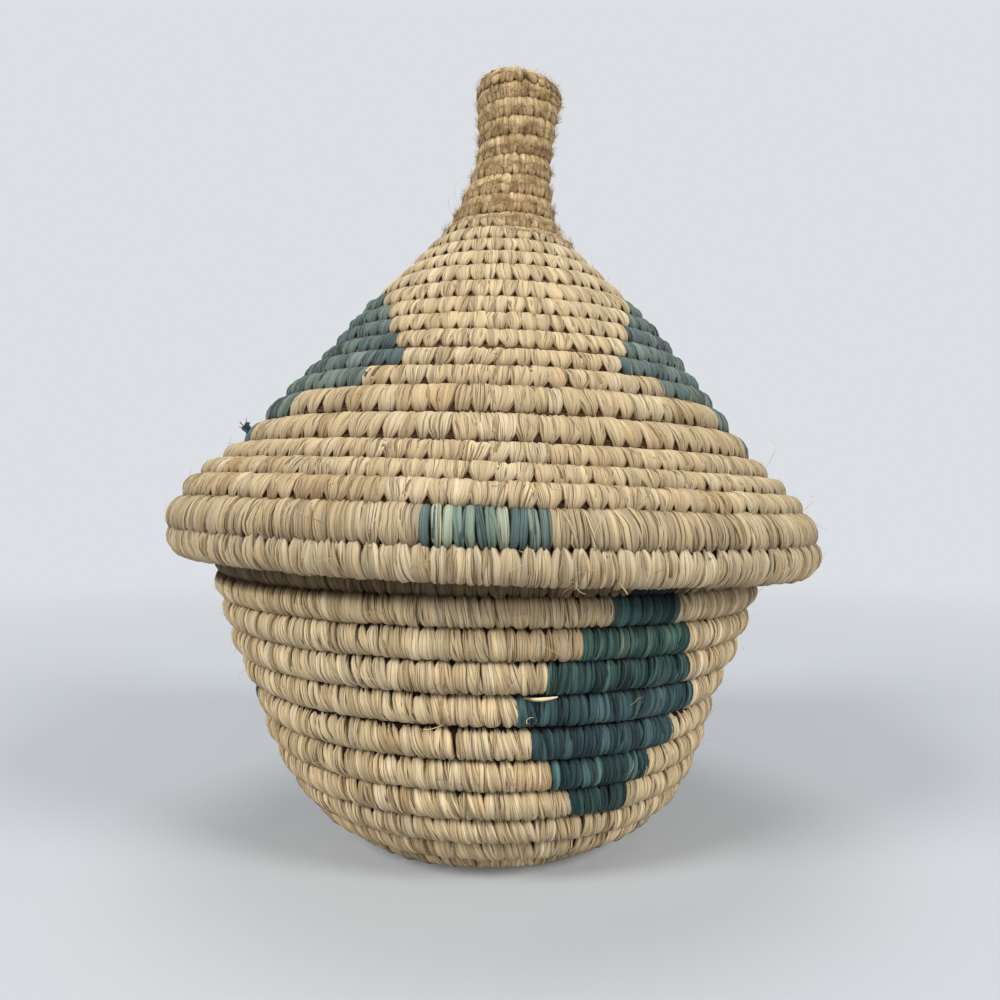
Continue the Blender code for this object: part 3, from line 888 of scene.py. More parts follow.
NOISE_JUMPS = (91.0, 173.0, 61.0)  # how far apart in the noise two stitches may take their streaks
STREAK_WAVES = 1.4          # along a strip
STREAK_SWAY = 0.22          # of a strip's width


def fibres(tree, draw, across, along, count, stretch, detail=3.0):
    """Fine streaks along a strip, in another place of the noise on each stitch."""
    far = [times(tree, draw, jump) for jump in NOISE_JUMPS]
    sway = result(add(tree, "ShaderNodeTexNoise",
                      {"W": plus(tree, times(tree, along, STREAK_WAVES), far[0]), "Scale": 1.0,
                       "Detail": 0.0},
                      noise_dimensions="1D"))
    bent = plus(tree, across, times(tree, sway, STREAK_SWAY))
    where = result(add(tree, "ShaderNodeCombineXYZ", {"X": plus(tree, times(tree, bent, count), far[1]),
                                                      "Y": plus(tree, times(tree, along, stretch), far[2])}))
    return result(add(tree, "ShaderNodeTexNoise",
                      {"Vector": where, "Scale": 1.0, "Detail": detail, "Roughness": 0.62},
                      noise_dimensions="2D"))


def near_end(tree, along, at_head, power):
    """1 at one end of a stitch, falling to 0 towards its middle."""
    share = along if at_head else maths(tree, "SUBTRACT", 1.0, along)
    return maths(tree, "POWER", share, power)


PATCH_SCALE = 55.0          # how small the patches of one tone are on the basket
STAIN_SCALE = 300.0         # how small the handled patches are
FINE_STREAKS = 3.3          # to each coarse one
FINE_SHARE = 0.45           # of the pattern of streaks, that the fine ones make
STREAK_TINT = (1.12, 1.0, 0.82)  # of the darkest streaks, which are warmer than the strip
CRACK_SHADE = 0.45          # of the darkest streaks
HEAD_POWER = 7.0            # how soon the shade at the upper ends falls off
EDGE_POWER = 9.0            # and the shade along the edges
TIP_POWER = 4.0             # and the paling at the upper ends
RELIEF = 0.0005             # metres, of fibres and stems
LEAST_ROUGHNESS = 0.55
ROUGHNESS_SPREAD = 0.25     # more on the palest fibres
BAND_LOW = 0.0768           # heights between which the bowl is darkened where the lid's rim hangs: painted shade of the rim, with some stain
BAND_HIGH = 0.1060
BAND_STOPS = ((0.0, 0.0), (0.07, 1.0), (0.32, 1.0), (0.60, 0.35), (1.0, 0.25))
BAND_TONE = (0.22, 0.19, 0.15, 1.0)
PALE_TIP = srgb(232, 217, 186)


def new_material(name, specular):
    """A material, its node tree and its shader."""
    material = bpy.data.materials.new(name)
    material.use_nodes = True
    tree = material.node_tree
    shader = tree.nodes["Principled BSDF"]
    shader.inputs["Specular IOR Level"].default_value = specular
    return material, tree, shader


def patches(tree, place, scale):
    """Soft noise that makes larger or smaller patches on the basket."""
    return result(add(tree, "ShaderNodeTexNoise", {"Vector": place, "Scale": scale, "Detail": 2.0}))


def surface(tree, shader, colour, height, strength):
    """Gives a shader its colour and its relief."""
    tree.links.new(colour, shader.inputs["Base Color"])
    raised = add(tree, "ShaderNodeBump", {"Strength": strength, "Distance": RELIEF, "Height": height})
    tree.links.new(raised.outputs["Normal"], shader.inputs["Normal"])


def shaded_and_stained_band(tree, place, colour):
    """The colour, darkened brown at the height where the lid's rim hangs over the bowl: painted shade of the
    rim, with some stain.
    """
    level = add(tree, "ShaderNodeSeparateXYZ", {"Vector": place}).outputs["Z"]
    level = result(add(tree, "ShaderNodeMapRange",
                       {"Value": level, "From Min": BAND_LOW, "From Max": BAND_HIGH}))
    share = ramp(tree, level, [(at, grey(share)) for at, share in BAND_STOPS])
    return mixed(tree, share, colour, mixed(tree, 1.0, colour, BAND_TONE, "MULTIPLY"))


def raffia(name, tones, shade_and_dirt, foot_shade, head_shade, other_tones=None, patch_share=0.45,
           streaks=8.0, contrast=0.2, foot_power=7.0, darkest=0.5, stain=None, band=False, tip=0.0,
           cracks=3.6, edge_shade=0.9):
    """Dry raffia strip: each stitch has a tone of its own, fine fibres, cracks and darker edges.

    `foot_shade` and `head_shade` are how strong the painted shade and dirt are at a stitch's ends, and a
    lower
    `foot_power` lets them reach further up. `darkest` is how much of the tone is left in the darkest
    streaks, and `stain` the share and colour of handled patches. `band` darkens it where the lid's rim hangs
    over it, as painted shade of the rim with some stain. `tip` is how far the upper ends are paler, and
    `cracks` says how close its cracks lie.
    """
    material, tree, shader = new_material(name, specular=0.28)
    tint, tone = attribute(tree, "tint"), attribute(tree, "tone")
    across, along = along_strip(tree)
    place = add(tree, "ShaderNodeTexCoord").outputs["Object"]

    chosen = plus(tree, times(tree, tone, 1 - patch_share),
                  times(tree, patches(tree, place, PATCH_SCALE), patch_share))
    colour = ramp(tree, chosen, tones)
    if other_tones:
        colour = mixed(tree, attribute(tree, "hue"), colour, ramp(tree, chosen, other_tones))
    if stain:
        share, stain_colour = stain
        handled = patches(tree, place, STAIN_SCALE)
        handled = ramp(tree, handled, ((0.45, grey(0.0)), (0.62, grey(share))))
        colour = mixed(tree, handled, colour, stain_colour)

    wide = fibres(tree, tint, across, along, count=3.0, stretch=0.3, detail=0.0)
    coarse = fibres(tree, tint, across, along, count=streaks, stretch=0.35)
    fine = fibres(tree, tone, across, along, count=streaks * FINE_STREAKS, stretch=0.8)
    both = plus(tree, times(tree, coarse, 1 - FINE_SHARE), times(tree, fine, FINE_SHARE))
    streak = [darkest * part for part in STREAK_TINT]
    light = ramp(tree, both, ((0.30, (*streak, 1.0)), (0.39, grey(0.6 + darkest * 0.4)), (0.47, grey(1.0)),
                              (0.66, grey(1.30 - 0.25 * darkest))))
    strand = ramp(tree, wide, ((0.30, grey(1 - contrast)), (0.50, grey(1.0)), (0.70, grey(1 + contrast))))
    colour = mixed(tree, 1.0, colour, strand, "MULTIPLY")
    colour = mixed(tree, 1.0, colour, light, "MULTIPLY")
    split = fibres(tree, tone, across, along, count=cracks, stretch=0.3, detail=1.0)
    split = maths(tree, "SUBTRACT", split, 0.5)
    crack = ramp(tree, maths(tree, "ABSOLUTE", split), ((0.0, grey(0.0)), (0.010, grey(0.15)),
                                                        (0.030, grey(1.0))))
    slit = (*(part * CRACK_SHADE for part in streak), 1.0)
    colour = mixed(tree, 1.0, colour, mixed(tree, crack, slit, grey(1.0)), "MULTIPLY")

    # Painted shade and dirt: darker along each stitch's edges and towards its ends, where it tucks into the
    # grooves, and up from its foot so that each row looks lit from above
    from_middle = times(tree, maths(tree, "ABSOLUTE", maths(tree, "SUBTRACT", across, 0.5)), 2.0)
    edge = times(tree, maths(tree, "POWER", from_middle, EDGE_POWER), edge_shade)
    foot = times(tree, near_end(tree, along, False, foot_power), foot_shade)
    head = times(tree, near_end(tree, along, True, HEAD_POWER), head_shade)
    shade_and_dirt_share = maths(tree, "MAXIMUM", edge, maths(tree, "MAXIMUM", foot, head))
    colour = mixed(tree, shade_and_dirt_share, colour, shade_and_dirt)
    if tip:
        paler_tips = times(tree, near_end(tree, along, True, TIP_POWER), tip)
        colour = mixed(tree, paler_tips, colour, PALE_TIP)
    # painted shade of the lid's rim on the bowl's upper rows, with some stain
    if band:
        colour = shaded_and_stained_band(tree, place, colour)

    worn = plus(tree, LEAST_ROUGHNESS, times(tree, both, ROUGHNESS_SPREAD))
    tree.links.new(worn, shader.inputs["Roughness"])
    surface(tree, shader, colour, plus(tree, both, times(tree, crack, 0.35)), strength=0.75)
    return material


def grass(name, dark, pale):
    """The bundle under the stitches: dry stems that run along the coil."""
    material, tree, shader = new_material(name, specular=0.2)
    across, along = along_strip(tree)
    where = result(add(tree, "ShaderNodeCombineXYZ", {"X": times(tree, across, 90.0),
                                                      "Y": times(tree, along, 7.0)}))
    stems = result(add(tree, "ShaderNodeTexNoise", {"Vector": where, "Scale": 1.0, "Detail": 3.0},
                       noise_dimensions="2D"))
    shader.inputs["Roughness"].default_value = 0.85
    surface(tree, shader, ramp(tree, stems, ((0.35, dark), (0.65, pale))), stems, strength=0.6)
    return material


def toned(tones, gain):
    """The same tones, all paler or darker by one gain."""
    return tuple((place, (*(part * gain for part in colour[:3]), 1.0)) for place, colour in tones)


NATURAL_TONES = (
    (0.12, srgb(168, 132, 88)),
    (0.24, srgb(198, 172, 130)),
    (0.40, srgb(212, 188, 148)),
    (0.55, srgb(205, 182, 142)),
    (0.70, srgb(220, 199, 162)),
    (0.84, srgb(200, 180, 144)),
    (0.93, srgb(178, 148, 104)),
)
KNOB_TONES = (
    (0.20, srgb(176, 148, 106)),
    (0.50, srgb(206, 181, 138)),
    (0.80, srgb(190, 164, 122)),
)
GREEN_TONES = (
    (0.18, srgb(36, 62, 62)),
    (0.38, srgb(66, 100, 92)),
    (0.55, srgb(88, 124, 110)),
    (0.70, srgb(56, 82, 78)),
    (0.86, srgb(136, 160, 140)),
)
BLUE_TONES = (
    (0.18, srgb(36, 56, 62)),
    (0.38, srgb(64, 90, 94)),
    (0.55, srgb(86, 114, 114)),
    (0.70, srgb(52, 72, 77)),
    (0.86, srgb(134, 156, 148)),
)
LID_GREEN_TONES = (
    (0.20, srgb(76, 93, 87)),
    (0.45, srgb(103, 119, 107)),
    (0.65, srgb(123, 137, 121)),
    (0.85, srgb(94, 108, 101)),
)
LID_BLUE_TONES = (
    (0.20, srgb(71, 83, 88)),
    (0.45, srgb(96, 109, 111)),
    (0.65, srgb(114, 127, 125)),
    (0.85, srgb(87, 99, 102)),
)
DASH_TONES = (
    (0.08, srgb(98, 114, 114)),
    (0.28, srgb(118, 140, 130)),
    (0.45, srgb(98, 119, 117)),
    (0.60, srgb(176, 184, 156)),
    (0.75, srgb(122, 143, 130)),
    (0.92, srgb(186, 192, 164)),
)


def make_materials():
    """A finish for each part of the basket, by the name that the parts ask for."""
    # brown and navy are the painted shade and dirt at the stitches' ends and edges
    brown, navy = srgb(72, 48, 26), srgb(8, 16, 20)
    return {
        # The one natural raffia is made paler on the bowl (1.20) and darker on the lid, neck, brim and edge
        # (0.96 to 0.80): painted light and shade for how the lamps fall on each part
        "natural": raffia("natural_raffia", toned(NATURAL_TONES, 1.20), brown, 0.9, 0.8, contrast=0.21,
                          foot_power=2.9, darkest=0.32, band=True),
        "inner_natural": raffia("inner_raffia", toned(NATURAL_TONES, 0.96), brown, 0.8, 0.6, contrast=0.18,
                                darkest=0.5),
        "lid_natural": raffia("lid_natural_raffia", toned(NATURAL_TONES, 0.96), brown, 0.75, 0.35,
                              contrast=0.12, foot_power=4.2, darkest=0.56, cracks=5.4),
        "neck_natural": raffia("neck_raffia", toned(NATURAL_TONES, 0.93), srgb(122, 94, 60), 0.75, 0.3,
                               patch_share=0.7, darkest=0.76),
        "rim_natural": raffia("rim_natural_raffia", toned(NATURAL_TONES, 0.80), brown, 0.75, 0.5,
                              contrast=0.25, foot_power=4.2, darkest=0.40, cracks=4.4),
        "edge_natural": raffia("edge_raffia", toned(NATURAL_TONES, 0.89), brown, 0.75, 0.1, contrast=0.25,
                               foot_power=4.2, darkest=0.38, tip=0.85),
        "knob": raffia("knob_raffia", toned(KNOB_TONES, 1.25), srgb(134, 106, 70), 1.0, 0.4, foot_power=3.0,
                       darkest=0.86, stain=(0.70, srgb(140, 108, 68)), edge_shade=0.40),
        "bowl_dyed": raffia("bowl_dyed_raffia", toned(GREEN_TONES, 0.88), navy, 0.8, 0.8,
                            toned(BLUE_TONES, 0.88), contrast=0.5, foot_power=5.0, darkest=0.4, band=True),
        "inner_dyed": raffia("inner_dyed_raffia", GREEN_TONES, navy, 0.8, 0.8, BLUE_TONES, contrast=0.5,
                             darkest=0.45),
        "lid_dyed": raffia("lid_dyed_raffia", LID_GREEN_TONES, srgb(30, 40, 42), 0.8, 0.5, LID_BLUE_TONES,
                           darkest=0.6),
        "tuft": raffia("dark_tuft_raffia", toned(BLUE_TONES, 0.32), navy, 0.5, 0.5),
        "dash": raffia("dash_raffia", DASH_TONES, srgb(16, 20, 18), 0.9, 0.5, patch_share=0.0,
                       foot_power=3.4),
        # The bowl's and the ring's grass is near black, darker than the grass's own brown: painted shade in
        # the gaps and grooves between stitches
        "grass": grass("grass_core", srgb(14, 10, 6), srgb(46, 32, 20)),
        "lid_grass": grass("lid_grass_core", srgb(34, 23, 13), srgb(96, 67, 42)),
        "knob_grass": grass("knob_grass", srgb(104, 82, 56), srgb(148, 122, 86)),
    }


# Stage

CAMERA_PLACE = (0.0045, -0.285, 0.1002)
CAMERA_LENS = 32.99
PAPER = srgb(206, 209, 212)
PAPER_SEEN = srgb(202, 206, 210)
BACKGROUND = srgb(220, 224, 228)
FLOOR_RADIUS = 4.0
FADE_LEAST = 0.15           # share of the background mixed into the paper next to the basket
FADE_START = 0.15           # metres from the basket's axis
FADE_END = 1.0
SKY = srgb(236, 240, 246)
SKY_STRENGTH = 0.24
LIT_POINT = Vector((0, 0, 0.11))
LAMPS = (                   # name, place, width in metres, watts
    ("key", Vector((-1.62, -1.58, 1.59)), 0.9, 46.0),
    ("fill", Vector((1.80, -1.60, 1.49)), 0.9, 45.0),
    ("top", Vector((-0.10, 0.15, 2.30)), 1.4, 16.0),
)


def make_camera():
    """The camera: close to the basket, level, and at about the height of its rim."""
    data = bpy.data.cameras.new("camera")
    data.lens = CAMERA_LENS
    data.sensor_width = 36.0
    data.clip_start = 0.01
    camera = put("camera", data)
    camera.location = CAMERA_PLACE
    camera.rotation_euler = (pi / 2, 0, 0)
    bpy.context.scene.camera = camera


def seen_directly(tree):
    """1 for rays that show the stage itself: the camera's, and those that glossy and clear things send."""
    path = add(tree, "ShaderNodeLightPath").outputs
    seen = maths(tree, "MAXIMUM", path["Is Camera Ray"], path["Is Glossy Ray"])
    return maths(tree, "MAXIMUM", seen, path["Is Transmission Ray"])


def paper():
    """Pale paper that takes the shadow near the basket and fades into the background further out."""
    material, tree, shader = new_material("pale_paper", specular=0.1)
    seen = seen_directly(tree)
    tree.links.new(mixed(tree, seen, PAPER, PAPER_SEEN), shader.inputs["Base Color"])
    shader.inputs["Roughness"].default_value = 0.9
    away = vector(tree, "LENGTH", add(tree, "ShaderNodeTexCoord").outputs["Object"]).outputs["Value"]
    faded = add(tree, "ShaderNodeMapRange", {"Value": away, "From Min": FADE_START, "From Max": FADE_END,
                                             "To Min": FADE_LEAST},
                interpolation_type="SMOOTHSTEP").outputs["Result"]
    glow = add(tree, "ShaderNodeEmission", {"Color": BACKGROUND})
    share = times(tree, faded, seen)
    blend = add(tree, "ShaderNodeMixShader", {0: share, 1: shader.outputs[0], 2: glow.outputs[0]})
    tree.links.new(blend.outputs[0], tree.nodes["Material Output"].inputs["Surface"])
    return material


def make_floor():
    """A round sheet of pale paper under the basket."""
    mesh = bmesh.new()
    bmesh.ops.create_circle(mesh, cap_ends=True, radius=FLOOR_RADIUS, segments=96)
    data = bpy.data.meshes.new("floor")
    mesh.to_mesh(data)
    mesh.free()
    data.materials.append(paper())
    put("floor", data)


def soft_lamp(name, place, width, power):
    """A round soft lamp that faces the middle of the basket."""
    data = bpy.data.lights.new(name, "AREA")
    data.shape = "DISK"
    data.size = width
    data.energy = power
    lamp = put(name, data)
    lamp.location = place
    lamp.rotation_euler = (LIT_POINT - place).to_track_quat("-Z", "Y").to_euler()


def light_stage():
    """Three soft lamps and a dim sky, which shows as the pale background."""
    for name, place, width, power in LAMPS:
        soft_lamp(name, place, width, power)
    world = bpy.data.worlds.new("sky")
    world.use_nodes = True
    tree = world.node_tree
    seen = seen_directly(tree)
    sky = tree.nodes["Background"].inputs
    tree.links.new(mixed(tree, seen, SKY, BACKGROUND), sky["Color"])
    strength = add(tree, "ShaderNodeMapRange", {"Value": seen, "To Min": SKY_STRENGTH, "To Max": 1.0})
    tree.links.new(strength.outputs["Result"], sky["Strength"])
    bpy.context.scene.world = world
    bpy.context.scene.view_settings.view_transform = "Standard"


# Basket

def sew_rows(name, kit, coil, stretches, inside, kind, colour, seed, hues=None):
    """One piece of stitches of one kind, on the outside or the inside of a coil."""
    path = path_along(coil, stretches, inside, KINDS[kind], hues)
    return sew(name, kit, path, KINDS[kind], kind, colour, seed)


class Fibres(NamedTuple):
    """How loose fibre ends stand on a length of coil."""
    pitch: float            # metres from one to the next
    reach: float            # in rows
    rise: float             # metres that one stands out


BOWL_FIBRES = Fibres(0.016, 0.7, 0.0022)
LID_FIBRES = Fibres(0.017, 0.7, 0.0020)
KNOB_FIBRES = Fibres(0.00034, 0.6, 0.0013)
FIBRE_CURL = 0.0020         # metres that a loose fibre curls to the side


def loose_fibres(name, kit, coil, stretches, ends, colour, seed):
    """Short fibre ends that have come loose and curl away from the rows."""
    kind = StitchKind(1, 1, 0, 0, ends.pitch, ends.rise, width=FIBRE_CURL / ends.pitch, reach=ends.reach,
                      unevenness=0.9, lean=0, spread=80, sink=0.0002)
    return sew(name, kit, path_along(coil, stretches, False, kind), kind, "hair", colour, seed)


class Stray(NamedTuple):
    """A strand that has come loose: where it leaves the basket, and how far it runs round, up and out."""
    course: float           # rows along the coil, with its height in the row as a fraction
    degrees: float          # from the middle of the front, to the right
    sweep: float            # degrees it runs round to the right
    climb: float            # rows it runs up
    bow: float              # metres it stands out at its middle
    tip: float              # metres it stands out at its end
    width: float
    curl: float = 0.0       # metres, size of the loop on its way


BOWL_STRAYS = (
    Stray(10.97, 7.4, 6.4, 0.03, 0.0002, -0.0010, 0.0011),
    Stray(10.20, 9.6, -0.9, 0.12, 0.0005, 0.0004, 0.00022, curl=0.0010),
    Stray(10.05, -13.5, 5.5, 0.10, 0.0012, -0.0006, 0.00025),
    Stray(10.55, 29, 2.6, 0.45, 0.0008, 0.0008, 0.00022, curl=0.0006),
    Stray(8.35, 32, 1.2, 0.60, 0.0012, 0.0008, 0.00022),
)
LID_STRAYS = (
    Stray(26.90, 9.6, 3.0, -0.30, 0.0016, 0.0002, 0.00028, curl=0.0011),
    Stray(26.95, 11.6, -2.2, -0.36, 0.0014, 0.0002, 0.00026, curl=0.0007),
    Stray(26.92, 17.0, 1.2, -0.28, 0.0012, 0.0006, 0.00024),
    Stray(22.60, -21, 4.4, -0.25, 0.0014, 0.0010, 0.00024),
    Stray(22.70, 71, 4.0, 0.80, 0.0030, 0.0060, 0.00024),
    Stray(8.60, -82, 6.0, 0.90, 0.0016, 0.0030, 0.00022),
    Stray(8.20, -75, 14.0, 1.10, 0.0018, 0.0034, 0.00022),
    Stray(24.90, 20, 2.2, 0.30, 0.0018, 0.0020, 0.00026, curl=0.0008),
    Stray(24.95, 42, 1.6, 0.35, 0.0018, 0.0022, 0.00026, curl=0.0008),
    Stray(24.95, 66, 2.4, 0.30, 0.0020, 0.0030, 0.00026),
)
DARK_TUFT = (
    Stray(21.62, -70, -2.2, 0.10, 0.0010, 0.0010, 0.00110),
    Stray(21.54, -71, -1.4, 0.12, 0.0011, 0.0012, 0.00120),
    Stray(21.66, -71, -1.0, 0.05, 0.0010, 0.0011, 0.00120),
    Stray(21.70, -68, -3.0, 0.02, 0.0008, 0.0008, 0.00100),
    Stray(21.58, -68, -3.4, 0.20, 0.0009, 0.0009, 0.00100),
    Stray(21.56, -69, -1.6, 0.26, 0.0010, 0.0024, 0.00034),
    Stray(21.62, -70, -1.0, 0.05, 0.0012, 0.0030, 0.00030),
    Stray(21.66, -71, -0.4, -0.06, 0.0009, 0.0022, 0.00030),
)
STRAY_ROOT = 0.0012         # metres below the outline where a stray leaves the stitches
STRAY_STEPS = 14


def stray_line(coil, stray):
    """Points along a stray strand, each with the way out of the basket there."""
    line = []
    for step in range(STRAY_STEPS + 1):
        t = step / STRAY_STEPS
        round_turn = -(stray.degrees + stray.sweep * t) / 360
        along = stray.course + coil.side * stray.climb * t + round_turn
        out = stray.bow * sin(pi * t) + stray.tip * t - STRAY_ROOT * (1 - t) ** 3
        point = coil.place(along, round_turn, -out)
        way = (coil.place(along, round_turn, -out - WAY_STEP) - point).normalized()
        side = Vector((0, 0, 1)).cross(way).normalized()
        loop = 2 * pi * t
        point += side * stray.curl * sin(loop) + Vector((0, 0, 1)) * stray.curl * (1 - cos(loop))
        line.append((point, way))
    return line


def stray_strands(name, coil, strays, material, seed):
    """Loose strands as flat tapered strips, four-sided."""
    rng = random.Random(seed)
    mesh = bmesh.new()
    uv = mesh.loops.layers.uv.new("UVMap")
    marks = [mesh.verts.layers.float.new(mark) for mark in ("tint", "tone")]
    for stray in strays:
        line = stray_line(coil, stray)
        draws = [rng.random() for _ in marks]
        rings = []
        for step, (point, way) in enumerate(line):
            t = step / STRAY_STEPS
            run = line[min(step + 1, STRAY_STEPS)][0] - line[max(step - 1, 0)][0]
            side = way.cross(run).normalized()
            half = stray.width / 2 * (0.25 + 0.75 * sin(pi * (0.08 + 0.84 * t)))
            ring = [mesh.verts.new(point + offset) for offset in
                    (side * half, way * half * 0.4, -side * half, -way * half * 0.4)]
            for vert in ring:
                for mark, draw in zip(marks, draws):
                    vert[mark] = draw
            rings.append(ring)
        tube(mesh, uv, rings, lambda side, corner, ring: (0.5, 0.2 + 0.6 * ring / STRAY_STEPS))
    return put(name, finished_mesh(name, mesh, material))


BOWL_HEART_SHARE = 0.4      # of the floor's thickness, radius of the grass in the bowl's knot
LID_HEART_SINK = 0.0005     # metres that the grass in the lid's knot lies below the knob's top


def knot_heart(name, coil, radius, depth, material):
    """The end of the grass bundle, tucked into the middle of the start knot."""
    mesh = bmesh.new()
    mesh.loops.layers.uv.new("UVMap")
    bmesh.ops.create_uvsphere(mesh, u_segments=20, v_segments=12, radius=radius, calc_uvs=True,
                              matrix=Matrix.Translation(coil.place(COIL_START, COIL_START, depth)))
    return put(name, finished_mesh(name, mesh, material))


def make_bowl(kit):
    """The bowl's rows, dyed blocks, loose fibres and grass."""
    coil = bowl_coil()
    blocks = block_stretches(BOWL_BLOCK, BOWL_BLOCK_PLACES)
    hues = [row[3] for row in BOWL_BLOCK]
    dyed = [stretch for block in blocks for stretch in block]
    tail = BOWL_END_TURN - TAIL_TURNS
    plans = (
        ("bowl_knot_stitches", COIL_START, 0, "bowl_start_knot", "bowl"),
        ("bowl_floor_stitches", 0, FLOOR_TURNS, "bowl_floor_coil", "bowl"),
        ("bowl_low_wall_stitches", FLOOR_TURNS, FLANK_TURN, "bowl_wall_coil", "bowl"),
        ("bowl_high_wall_stitches", FLANK_TURN, RIM_TURN, "bowl_wall_coil", "bowl"),
        ("bowl_rim_stitches", RIM_TURN, tail, "bowl_rim_coil", "bowl"),
        ("bowl_tail_stitches", tail, BOWL_END_TURN, "bowl_coil_tail", "bowl"),
        ("bowl_inside_stitches", COIL_START, BOWL_END_TURN - 1, "bowl_wall_coil", "inside"),
        ("bowl_lip_stitches", BOWL_END_TURN - 1, BOWL_END_TURN, "bowl_rim_coil", "bowl_lip"),
        ("bowl_loose_strands", FLOOR_TURNS, BOWL_END_TURN, "bowl_wall_coil", "strand"),
    )
    for number, (name, first, last, node, kind) in enumerate(plans):
        stretches = without(first, last, dyed)
        inner = kind in ("inside", "bowl_lip")
        colour = "inner_natural" if inner else "natural"
        piece = sew_rows(name, kit, coil, stretches, inner, kind, colour, SEED + NEXT_SEED * number)
        settle(piece, "bowl", (node,))
    for number, block in enumerate(blocks, 1):
        for side, kind in (("", "dyed"), ("_strands", "strand"), ("_inside", "inside")):
            inner = kind == "inside"
            piece = sew_rows(f"bowl_dyed_stitches_{number}{side}", kit, coil, block, inner, kind,
                             "inner_dyed" if inner else "bowl_dyed", BOWL_DYED_SEED + number, hues)
            settle(piece, "bowl", (f"bowl_dyed_block_{number}",))
    loose = loose_fibres("bowl_loose_fibres", kit, coil, without(HEEL_TURN + 1, BOWL_END_TURN, dyed),
                         BOWL_FIBRES, "natural", BOWL_LOOSE_SEED)
    settle(loose, "bowl", ("bowl_wall_coil",))
    strays = stray_strands("bowl_stray_strands", coil, BOWL_STRAYS, kit.materials["natural"],
                           BOWL_LOOSE_SEED + NEXT_SEED)
    settle(strays, "bowl", ("bowl_wall_coil",))
    heart = knot_heart("bowl_knot_heart", coil, FLOOR_THICKNESS * BOWL_HEART_SHARE, FLOOR_THICKNESS / 2,
                       kit.materials["knob_grass"])
    settle(heart, "bowl", ("bowl_start_knot",))
    core = grass_core("bowl_grass_core", coil, COIL_START, BOWL_END_TURN, KINDS["bowl"].drop,
                      kit.materials["grass"])
    settle(core, "bowl", ("bowl_wall_coil",))


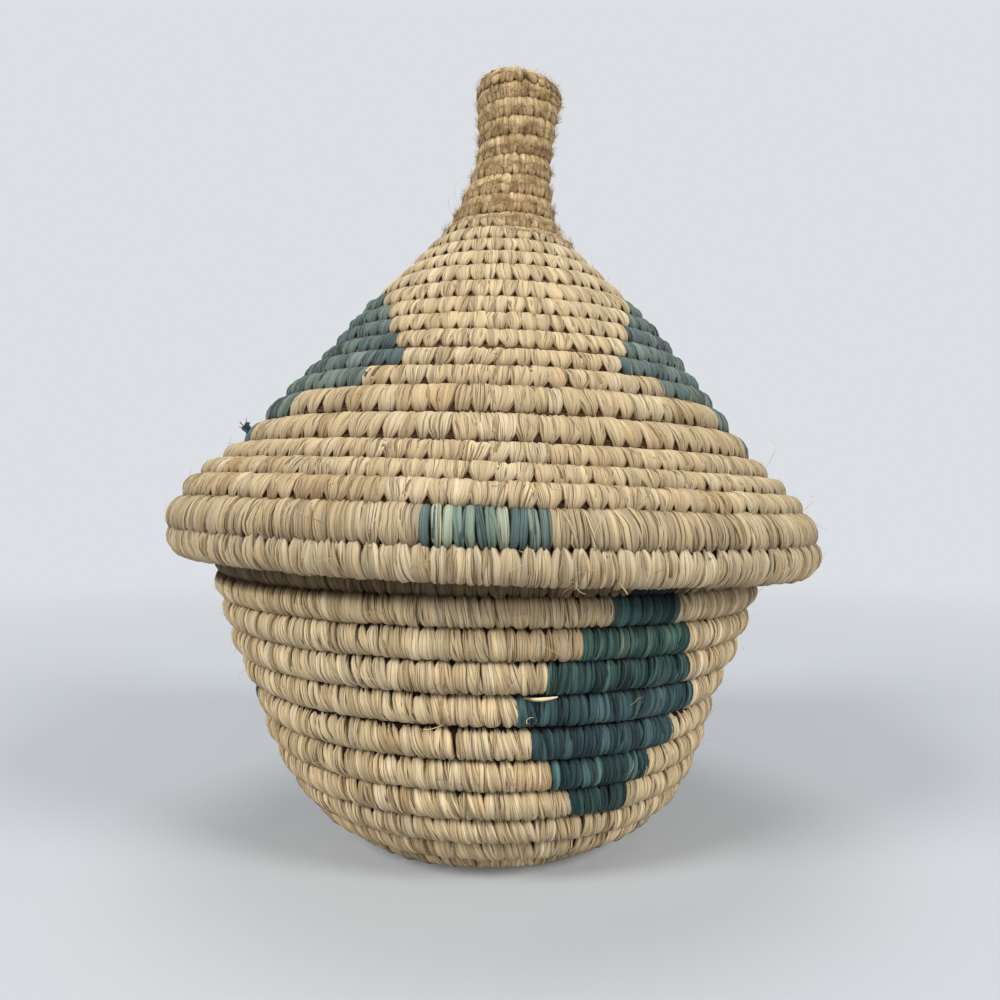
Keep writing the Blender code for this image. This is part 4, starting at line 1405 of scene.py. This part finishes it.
def make_lid(kit):
    """The lid's rows from the knob to the rim, its dyed blocks and dashes, loose fibres and grass."""
    coil = lid_coil()
    blocks = block_stretches(LID_BLOCK, LID_BLOCK_PLACES)
    dashes = block_stretches(DASH, DASH_PLACES)
    dyed = [stretch for block in blocks + dashes for stretch in block]
    tail = LID_END_TURN - TAIL_TURNS
    pale = "lid_natural"
    plans = (
        ("lid_knot_stitches", COIL_START, 0, "lid_start_knot", "knob", "knob"),
        ("lid_knob_stitches", 0, KNOB_FOOT_TURN, "lid_knob_coil", "knob", "knob"),
        ("lid_neck_stitches", KNOB_FOOT_TURN, NECK_END_TURN, "lid_neck_coil", "neck", "neck_natural"),
        ("lid_high_cone_stitches", NECK_END_TURN, CONE_MIDDLE_TURN, "lid_cone_coil", "neck", "neck_natural"),
        ("lid_low_cone_stitches", CONE_MIDDLE_TURN, CONE_END_TURN, "lid_cone_coil", "cone", pale),
        ("lid_brim_stitches", CONE_END_TURN, EDGE_TURN, "lid_rim_coil", "brim", "rim_natural"),
        ("lid_edge_stitches", EDGE_TURN, tail, "lid_rim_coil", "edge", "edge_natural"),
        ("lid_tail_stitches", tail, LID_END_TURN, "lid_coil_tail", "edge", "edge_natural"),
        ("lid_inside_stitches", NECK_TURN, LID_END_TURN - 1, "lid_cone_coil", "inside", pale),
        ("lid_lip_stitches", LID_END_TURN - 1, LID_END_TURN, "lid_rim_coil", "lid_lip", pale),
        ("lid_loose_strands", NECK_END_TURN, LID_END_TURN, "lid_cone_coil", "strand", pale),
    )
    for number, (name, first, last, node, kind, colour) in enumerate(plans):
        stretches = without(first, last, [*dyed, KNOB_SPLIT])
        inner = kind in ("inside", "lid_lip")
        piece = sew_rows(name, kit, coil, stretches, inner, kind, colour, LID_SEED + NEXT_SEED * number)
        settle(piece, "lid", (node,))
    hues = [row[3] for row in LID_BLOCK]
    groups = [(f"dyed_stitches_{n}", f"lid_dyed_block_{n}", "cone", "lid_dyed", block)
              for n, block in enumerate(blocks, 1)]
    groups += [(f"dash_stitches_{n}", f"lid_rim_dash_{n}", "dash", "dash", dash)
               for n, dash in enumerate(dashes, 1)]
    for number, (name, node, kind, colour, stretches) in enumerate(groups):
        for side, shape in (("", kind), ("_strands", "strand"), ("_inside", "inside")):
            piece = sew_rows(f"lid_{name}{side}", kit, coil, stretches, shape == "inside", shape, colour,
                             LID_DYED_SEED + number, hues)
            settle(piece, "lid", (node,))
    fibre_plans = (
        ("lid_loose_fibres", KNOB_FOOT_TURN, LID_END_TURN, LID_FIBRES, pale, "lid_cone_coil"),
        ("lid_knob_fibres", COIL_START, KNOB_FOOT_TURN + 1, KNOB_FIBRES, "knob", "lid_knob_coil"),
    )
    for name, first, last, ends, colour, node in fibre_plans:
        piece = loose_fibres(name, kit, coil, without(first, last, dyed), ends, colour, LID_LOOSE_SEED)
        settle(piece, "lid", (node,))
    stray_plans = (("lid_stray_strands", LID_STRAYS, pale), ("lid_dark_tuft", DARK_TUFT, "tuft"))
    for name, strays, colour in stray_plans:
        piece = stray_strands(name, coil, strays, kit.materials[colour], LID_LOOSE_SEED + NEXT_SEED)
        settle(piece, "lid", ("lid_cone_coil",))
    heart = knot_heart("lid_knot_heart", coil, LID_EYE_RADIUS, LID_EYE_RADIUS + LID_HEART_SINK,
                       kit.materials["knob_grass"])
    settle(heart, "lid", ("lid_start_knot",))
    core_plans = (
        ("lid_knob_core", COIL_START, CONE_MIDDLE_TURN, "knob_grass", "lid_knob_coil"),
        ("lid_grass_core", CONE_MIDDLE_TURN, LID_END_TURN, "lid_grass", "lid_cone_coil"),
    )
    for name, first, last, colour, node in core_plans:
        core = grass_core(name, coil, first, last, 0, kit.materials[colour])
        settle(core, "lid", (node,))


def make_ring(kit):
    """The locating ring, of level turns that each stay a little open."""
    coil = ring_coil()
    turns = [(turn, turn + 1 - RING_GAP) for turn in range(RING_TURNS)]
    for name, inside in (("lid_ring_stitches", False), ("lid_ring_inside_stitches", True)):
        piece = sew_rows(name, kit, coil, turns, inside, "inside", "inner_natural", RING_SEED)
        settle(piece, "lid", ("lid_locating_ring",))
    for number, (first, last) in enumerate(turns, 1):
        core = grass_core(f"lid_ring_core_{number}", coil, first, last, 0, kit.materials["grass"])
        settle(core, "lid", ("lid_locating_ring",))


def main():
    """Sets the stage, sews the basket and clears away the shapes that it was sewn with."""
    make_camera()
    make_floor()
    light_stage()
    kit = Kit(stitching_tree(), make_shapes(), make_materials())
    make_bowl(kit)
    make_lid(kit)
    make_ring(kit)
    for collection in kit.shapes.values():
        for shape in list(collection.objects):
            bpy.data.objects.remove(shape)
        bpy.data.collections.remove(collection)


main()
